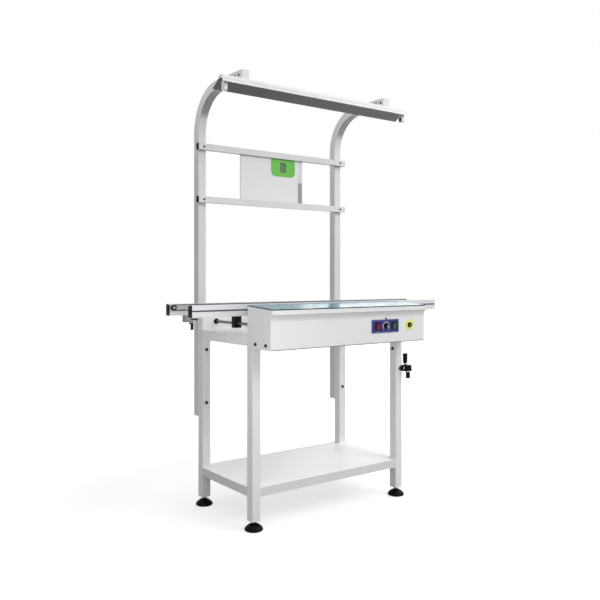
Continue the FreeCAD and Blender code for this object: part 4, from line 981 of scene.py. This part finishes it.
DISC_PROFILE = [(6.1, 0), (6.1, -1.0), (23.9, -1.0), (24.4, -0.8), (24.5, -0.5), (24.5, 0)]
JACK_RIBS = fluted(11.5, 0.35, 20)
JACK_PROFILE = [
    (0, 24.0), (6.0, 24.0), (6.0, 0), (11.5, 0), (JACK_RIBS, -0.8), (JACK_RIBS, -4.0), (10.8, -4.7),
    (9.6, -5.0), (4.2, -5.0), (3.8, -4.4), (2.6, -4.4), (2.2, -5.0), (2.0, -5.0), (2.0, 11.0), (0, 11.0),
]
RING_PROFILE = [(21.2, 0), (21.2, -0.12), (21.7, -0.12), (21.7, 0)]
CONTACT_PROFILE = [(2.0, -4.9), (2.0, -5.0), (3.3, -5.0), (3.4, -4.7), (3.4, -4.3)]


def ground_piece(name, profile, y, segments, material):
    origin = (GROUND_X, y, PANEL_Z)
    return turned(name, profile, origin, AXIS_Y, segments, material, "frame")


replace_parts(ground_piece("ground_disc", DISC_PROFILE, CABINET_FACE, 64, yellow_print), "ground_point")
ground_piece("ground_jack", JACK_PROFILE, DISC_FRONT, 80, black_gloss)
ground_piece("ground_ring", RING_PROFILE, DISC_FRONT + 0.02, 64, mark_black)
ground_piece("ground_contact", CONTACT_PROFILE, DISC_FRONT, 32, steel)


# Rails: end plates with low-headed screws, and hubs on the open side of the end pulleys

LEDGE_Z = RAIL_TOP - 3.3
LEDGE_DEPTH = 18.0
PLATE_OUTLINE = [(0, RAIL_BOTTOM), (RAIL_DEPTH, RAIL_BOTTOM), (RAIL_DEPTH, LEDGE_Z), (LEDGE_DEPTH, LEDGE_Z),
                 (LEDGE_DEPTH, RAIL_TOP), (0, RAIL_TOP)]
PLATE_THICKNESS = 1.6
PLATE_ROUNDING = 0.35
# Each screw: depth from the rail's outer face and height above its bottom
PLATE_SCREWS = ((9.0, 8.0), (9.0, 38.0), (24.0, 9.0))
PLATE_SEAT = RAIL_END + 1.55
HUB_PROFILE = [(0, 0.9), (2.0, 0.8), (2.8, 0.3), (4.6, 0.3), (5.0, -0.1)]
HUB_DEPTH = 27.0


def end_plates(rail):
    node = rail + "_rail_ends"
    outer, side, body = RAIL_OUTER[rail], RAIL_SIDE[rail], RAIL_BODY[rail]
    plates = Shape()
    heads = Shape()
    for end in SIDES:
        outline = [(end * RAIL_END, outer + side * depth, z) for depth, z in PLATE_OUTLINE]
        plates.prism(outline, AXIS_X * (end * PLATE_THICKNESS), PLATE_ROUNDING)
        for depth, height in PLATE_SCREWS:
            seat = (end * PLATE_SEAT, outer + side * depth, RAIL_BOTTOM + height)
            socket_screw(heads, seat, AXIS_X * -end, PLATE_SCREW, INTO_PLATE)
    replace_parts(plates.build(node + "_caps", black_plastic, body), node)
    heads.build(node + "_screws", dark_steel, body)


def end_pulley_hub(rail, place, x):
    pulley = rail + "_" + place + "_pulley"
    side = RAIL_SIDE[rail]
    origin = (x, RAIL_OUTER[rail] + side * HUB_DEPTH, PULLEY_Z)
    turned(pulley + "_hub", HUB_PROFILE, origin, AXIS_Y * side, 36, turned_metal, pulley)


for rail in RAIL_SIDE:
    end_plates(rail)
for rail in RAIL_SIDE:
    end_pulley_hub(rail, "left", -PULLEY_X)
    end_pulley_hub(rail, "right", PULLEY_X)


# Sensor with its lens and clamp, reflector block and inlet pins

LENS_PROFILE = [(0, -0.9), (2.6, -0.7), (3.4, -0.2), (3.6, 0.3)]
LENS_OFFSET = (-5.0, 4.75, 10.0)
CLAMP_Y = (-0.6, 0.1)
CLAMP_Z = (37.8, 42.8)
CLAMP_HALF = 15.0
CLAMP_SCREW_X = 9.5
CLAMP_SCREW_Y = 0.05
CLAMP_SCREW_Z = 33.5
FACE_SIDE_MARGIN = 2.0
FACE_BOTTOM_MARGIN = 4.0
FACE_TOP_MARGIN = 6.0
FACE_Y = (-0.6, 0.2)
TRIM_ROUNDING = 0.3
INLET_PINS = ((-9.0, -2.5), (0.0, 3.0), (9.0, -2.5))
INLET_PIN_HALF_X = 1.0
INLET_PIN_HALF_Y = 2.4
INLET_PIN_Z = (3.0, 18.2)
INLET_PIN_ROUNDING = 0.5


def sensor_details():
    (left, front, bottom), (right, back, _) = node_box("board_sensor")
    x, y = (left + right) / 2, (front + back) / 2
    lens = Vector((x, y, bottom)) + Vector(LENS_OFFSET)
    turned("sensor_lens", LENS_PROFILE, lens, AXIS_Y * -1, 28, lens_red, "frame")
    clamp = Shape()
    clamp.block((x - CLAMP_HALF, front + CLAMP_Y[0], bottom + CLAMP_Z[0]),
                (x + CLAMP_HALF, front + CLAMP_Y[1], bottom + CLAMP_Z[1]), TRIM_ROUNDING)
    for side in SIDES:
        seat = (x + side * CLAMP_SCREW_X, front + CLAMP_SCREW_Y, bottom + CLAMP_SCREW_Z)
        socket_screw(clamp, seat, AXIS_Y, CLAMP_SCREW, INTO_PLATE)
    clamp.build("sensor_clamp", black_plastic, "frame")


def reflector_face():
    (left, front, bottom), (right, _, top) = node_box("sensor_reflector")
    face = Shape()
    face.block((left + FACE_SIDE_MARGIN, front + FACE_Y[0], bottom + FACE_BOTTOM_MARGIN),
               (right - FACE_SIDE_MARGIN, front + FACE_Y[1], top - FACE_TOP_MARGIN), TRIM_ROUNDING)
    face.build("reflector_face", strip_grey, "rear_rail_carriage")


def inlet_pins():
    (left, front, bottom), (right, back, _) = node_box("power_inlet")
    pins = Shape()
    for dx, dy in INLET_PINS:
        x, y = (left + right) / 2 + dx, (front + back) / 2 + dy
        pins.block((x - INLET_PIN_HALF_X, y - INLET_PIN_HALF_Y, bottom + INLET_PIN_Z[0]),
                   (x + INLET_PIN_HALF_X, y + INLET_PIN_HALF_Y, bottom + INLET_PIN_Z[1]), INLET_PIN_ROUNDING)
    pins.build("inlet_pins", brass, "frame")


sensor_details()
reflector_face()
inlet_pins()


# Lamp holders: dark rotor and two contacts, on the side that faces the tube

ROTOR_PROFILE = [(0, 0.6), (6.2, 0.6), (7.4, 0.9), (8.0, 1.0), (8.3, 0.6), (8.3, 0)]
LAMP_CONTACT_PROFILE = [(0, 1.2), (1.0, 1.2), (1.3, 0.9), (1.3, 0.3)]
LAMP_CONTACT_OFFSETS = (-4.0, 4.0)


def holder_rotors():
    rotors = Shape()
    contacts = Shape()
    for side in SIDES:
        face = side * HOLDER_X
        rotors.lathe(ROTOR_PROFILE, (face, LAMP_Y, HOLDER_Z), AXIS_X * -side, 40)
        for offset in LAMP_CONTACT_OFFSETS:
            contacts.lathe(LAMP_CONTACT_PROFILE, (face, LAMP_Y, HOLDER_Z + offset), AXIS_X * -side, 16)
    rotors.build("holder_rotors", mark_black, "frame")
    contacts.build("holder_contacts", brass, "frame")


holder_rotors()


# Document pocket: edge strips, a black strip under the upper crossbar as a painted shadow, and the tab's
# page motif

STRIP_X = (POCKET_HIGH.x - 26.0, POCKET_HIGH.x - 0.4)
STRIP_Y = (POCKET_FACE - 0.5, POCKET_FACE + 0.1)
STRIP_Z = (POCKET_LOW.z + 26.7, POCKET_HIGH.z - 11.0)
STRIP_ROUNDING = 0.2
EDGE_WIDTH = 1.4
EDGE_Y = (POCKET_FACE - 0.3, POCKET_FACE + 2.2)
EDGE_Z = (POCKET_LOW.z + 0.7, POCKET_HIGH.z - 1.0)
EDGE_ROUNDING = 0.25
# A black strip under the upper crossbar stands in for the shadow line there: a painted shadow
SHADOW_STRIP_X = (POCKET_LOW.x, BARS_HIGH.x - 1.0)
SHADOW_STRIP_Y = (BAR_FRONT + 0.7, BAR_FRONT + 3.1)
SHADOW_STRIP_Z = (BARS_HIGH.z - 29.4, BARS_HIGH.z - 27.9)
PAGE_OUTLINE = ((-17, 0), (17, 0), (17, 38), (8, 47), (-17, 47))
PAGE_BOTTOM = TAB_LOW.z + 21.4
PAGE_Y = TAB_LOW.y + 0.05
PAGE_HEIGHT = 0.12
RULE_Y = PAGE_Y - 0.1
RULE_LEFT = -12
RULE_HALF = 1.4
# Each rule: height above the page's bottom and right end
RULES = ((8.0, 12.0), (17.0, 12.0), (26.0, 12.0), (35.0, 4.0))


def pocket_edges():
    strip = Shape()
    strip.block(*zip(STRIP_X, STRIP_Y, STRIP_Z), STRIP_ROUNDING)
    strip.build("pocket_strip", strip_clear, "pocket")
    edges = Shape()
    for left in (POCKET_LOW.x, POCKET_HIGH.x - EDGE_WIDTH):
        edges.block(*zip((left, left + EDGE_WIDTH), EDGE_Y, EDGE_Z), EDGE_ROUNDING)
    edges.build("pocket_edges", strip_grey, "pocket")


# Black strip put where the upper crossbar's shadow line falls: a painted shadow
def bar_seal():
    shadow_strip = Shape()
    shadow_strip.block(*zip(SHADOW_STRIP_X, SHADOW_STRIP_Y, SHADOW_STRIP_Z), TRIM_ROUNDING)
    shadow_strip.build("bar_painted_shadow_strip", mark_black, "frame")


def tab_motif():
    page = Shape()
    outline = [(TAB_X + dx, PAGE_BOTTOM + dz) for dx, dz in PAGE_OUTLINE]
    raise_print(page, outline, PAGE_Y, PAGE_HEIGHT)
    page.build("tab_page", mark_black, "pocket")
    rules = Shape()
    for height, right in RULES:
        z = PAGE_BOTTOM + height
        outline = rectangle(TAB_X + RULE_LEFT, TAB_X + right, z - RULE_HALF, z + RULE_HALF)
        raise_print(rules, outline, RULE_Y, PAGE_HEIGHT)
    rules.build("tab_rules", tab_print, "pocket")


pocket_edges()
bar_seal()
tab_motif()


# Width crank: turned hub, rounded arm, steel bit and pin, ribbed grip, and its holder's band and screw

CRANK_HUB_PROFILE = [
    (0, 0), (16.2, 0), (CRANK_HUB_RADIUS, 0.8), (CRANK_HUB_RADIUS, 17.4), (15.4, 19.0), (9.0, 19.0),
    (8.2, 18.4), (0, 18.4),
]
ARM_RADIUS = 9.0
ARM_ROUNDING = 1.6
ARM_ROUNDING_STEPS = 3
ARM_STEPS = 16
BIT_PROFILE = [(0, 0), (hexagon(4.4), 0), (hexagon(5.0), 0.4), (hexagon(5.0), BIT_LENGTH)]
GRIP_PIN_PROFILE = [(7.0, 0), (7.0, 1.6), (4.0, 2.2), (4.0, 46.0), (0, 46.4)]
GRIP_GAP = 5.0
GRIP_FOOT = [(4.05, 0), (9.2, 0), (9.9, 0.8)]
GRIP_HEAD = [(11.2, 40.0), (11.3, 42.6), (10.4, 44.8), (7.8, 45.8), (0, 46.0)]
GRIP_RIBS = 9
RIB_START = 3.0
RIB_PITCH = 4.0
RIB_RADIUS = 10.0
RIB_GROWTH = 1.2
BAND_PROFILE = [(10.0, 0), (10.75, 0.3), (10.75, 4.7), (10.0, 5.0)]
BAND_DROP = 13.5
HOLDER_SCREW_SEAT = (LEG_X + 10.0, FRAME_FRONT - 4.0, CRANK_REST + 5.5)


def crank_arm():
    arm = Shape()
    arm.lathe(CRANK_HUB_PROFILE, (CRANK_X, CRANK_Y, CRANK_REST), AXIS_Z, 48)
    away = Vector((math.cos(CRANK_TURN), math.sin(CRANK_TURN), 0))
    across = Vector((-away.y, away.x, 0))
    outline = []
    for x, y, first in ((CRANK_X, CRANK_Y, 90), (GRIP_X, GRIP_Y, 270)):
        centre = Vector((x, y, ARM_BOTTOM))
        for i in range(ARM_STEPS + 1):
            a = math.radians(first + 180 * i / ARM_STEPS)
            outline.append(centre + (away * math.cos(a) + across * math.sin(a)) * ARM_RADIUS)
    arm.prism(outline, AXIS_Z * (ARM_TOP - ARM_BOTTOM), ARM_ROUNDING, ARM_ROUNDING_STEPS)
    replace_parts(arm.build("crank_arm", crank_paint, "crank"), "crank")


def crank_steel():
    metal = Shape()
    metal.lathe(BIT_PROFILE, (CRANK_X, CRANK_Y, CRANK_REST - BIT_LENGTH), AXIS_Z, 36)
    metal.lathe(GRIP_PIN_PROFILE, (GRIP_X, GRIP_Y, ARM_TOP), AXIS_Z, 32)
    metal.build("crank_steel", steel, "crank")


def crank_grip():
    profile = list(GRIP_FOOT)
    for i in range(GRIP_RIBS):
        z = RIB_START + RIB_PITCH * i
        r = RIB_RADIUS + RIB_GROWTH * i / GRIP_RIBS
        profile += [(r, z), (r + 0.15, z + 2.6), (r - 0.5, z + 3.0), (r - 0.5, z + 3.6)]
    grip = turned("grip_ribbed", profile + GRIP_HEAD, (GRIP_X, GRIP_Y, ARM_TOP + GRIP_GAP), AXIS_Z, 48,
                  black_plastic, "crank_grip")
    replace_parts(grip, "crank_grip")


def crank_holder():
    band = (CRANK_X, CRANK_Y, CRANK_REST - BAND_DROP)
    turned("holder_band", BAND_PROFILE, band, AXIS_Z, 48, steel, "frame")
    fixing = Shape()
    socket_screw(fixing, HOLDER_SCREW_SEAT, AXIS_Y, HOLDER_SCREW, INTO_HOLDER)
    fixing.build("holder_screw", dark_steel, "frame")


crank_arm()
crank_steel()
crank_grip()
crank_holder()


# Floor, light and camera, in metres and watts

FLOOR_HALF = 14.0
FLOOR_GREY = (0.5, 0.5, 0.5, 1)
FLOOR_GLOW_REACH = (0.9, 2.2)
FLOOR_GLOW = (0.66, 1.0)
PURE_WHITE = (1, 1, 1, 1)
WORLD_LIGHT = 0.36
WORLD_SEEN = 1.0
SPOT_SOFTNESS = 0.3
# Each lamp: name, place, target, size and power
LAMPS = (
    ("front", (1.6, -2.9, 3.1), (0, 0, 0.7), 2.2, 81.0),
    ("near_left", (-0.97, -0.78, 0.87), (-0.4, -0.2, 0.75), 0.5, 2.75),
    ("top", (0.0, -0.3, 4.6), (0, 0, 0.8), 3.5, 36.0),
    ("right", (2.3, -0.3, 2.0), (0.15, 0, 0.17), 1.2, 19.0),
    ("rear_right", (3.0, 2.75, 1.44), (0.2, -0.23, 0.89), 1.5, 12.5),
)
SPOT_PLACE = (-5.0, 0.6, 2.9)
SPOT_TARGET = (0, 0.08, 1.79)
SPOT_ANGLE = 12.0
SPOT_POWER = 330.0
CAMERA_PLACE = (-1.9444, -2.5454, 1.0056)
CAMERA_TURN = -36.63
CAMERA_LENS = 42.97
CAMERA_SENSOR = 36.0
CAMERA_SHIFT = -0.0372


def seen_directly(tree):
    """1 for camera, glossy and transmission rays."""
    path = add_node(tree, "ShaderNodeLightPath")
    value = path.outputs["Is Camera Ray"]
    for other in ("Is Glossy Ray", "Is Transmission Ray"):
        value = combine(tree, "MAXIMUM", value, path.outputs[other])
    return value


def mix_seen(tree, unseen, seen, output_kind):
    """Ends a tree in one shader for light and another for what is seen."""
    mix = add_node(tree, "ShaderNodeMixShader", {0: seen_directly(tree), 1: unseen, 2: seen})
    add_node(tree, output_kind, {0: mix.outputs[0]})


def floor_glow(tree):
    """White glow that is weaker near the bench, where the shadow lies."""
    reach = add_node(tree, "ShaderNodeVectorMath", {0: object_place(tree)}, operation="LENGTH")
    fade = map_range(tree, reach.outputs["Value"], FLOOR_GLOW_REACH, FLOOR_GLOW,
                     interpolation_type="SMOOTHSTEP")
    return add_node(tree, "ShaderNodeEmission", {"Color": PURE_WHITE, "Strength": fade}).outputs[0]


def empty_tree(owner):
    owner.use_nodes = True
    owner.node_tree.nodes.clear()
    return owner.node_tree


def floor_material():
    material = bpy.data.materials.new("pale_floor")
    tree = empty_tree(material)
    diffuse = add_node(tree, "ShaderNodeBsdfDiffuse", {"Color": FLOOR_GREY}).outputs[0]
    both = add_node(tree, "ShaderNodeAddShader", {0: diffuse, 1: floor_glow(tree)}).outputs[0]
    mix_seen(tree, diffuse, both, "ShaderNodeOutputMaterial")
    return material


def add_floor():
    mesh = bpy.data.meshes.new("floor")
    corners = rectangle(-FLOOR_HALF, FLOOR_HALF, -FLOOR_HALF, FLOOR_HALF)
    mesh.from_pydata([(x, y, 0) for x, y in corners], [], [[0, 1, 2, 3]])
    mesh.materials.append(floor_material())
    add_object("floor", mesh)


def background(tree, strength):
    inputs = {"Color": PURE_WHITE, "Strength": strength}
    return add_node(tree, "ShaderNodeBackground", inputs).outputs[0]


def add_world():
    world = bpy.data.worlds.new("studio")
    bpy.context.scene.world = world
    tree = empty_tree(world)
    mix_seen(tree, background(tree, WORLD_LIGHT), background(tree, WORLD_SEEN), "ShaderNodeOutputWorld")


def aim_light(name, data, place, target, power):
    data.energy = power
    light = add_object(name, data)
    light.location = place
    light.rotation_euler = (Vector(target) - Vector(place)).to_track_quat("-Z", "Y").to_euler()


def add_lamp(name, place, target, size, power):
    data = bpy.data.lights.new(name, "AREA")
    data.shape = "SQUARE"
    data.size = size
    aim_light(name, data, place, target, power)


def add_spot():
    data = bpy.data.lights.new("upper_left", "SPOT")
    data.spot_size = math.radians(SPOT_ANGLE)
    data.spot_blend = 1.0
    data.shadow_soft_size = SPOT_SOFTNESS
    aim_light("upper_left", data, SPOT_PLACE, SPOT_TARGET, SPOT_POWER)


def add_camera():
    data = bpy.data.cameras.new("camera")
    data.sensor_width = CAMERA_SENSOR
    data.lens = CAMERA_LENS
    data.shift_y = CAMERA_SHIFT
    camera = add_object("camera", data)
    camera.location = CAMERA_PLACE
    camera.rotation_euler = (math.radians(90), 0, math.radians(CAMERA_TURN))
    bpy.context.scene.camera = camera


add_floor()
add_world()
for lamp in LAMPS:
    add_lamp(*lamp)
add_spot()
add_camera()
bpy.context.scene.view_settings.view_transform = "Standard"
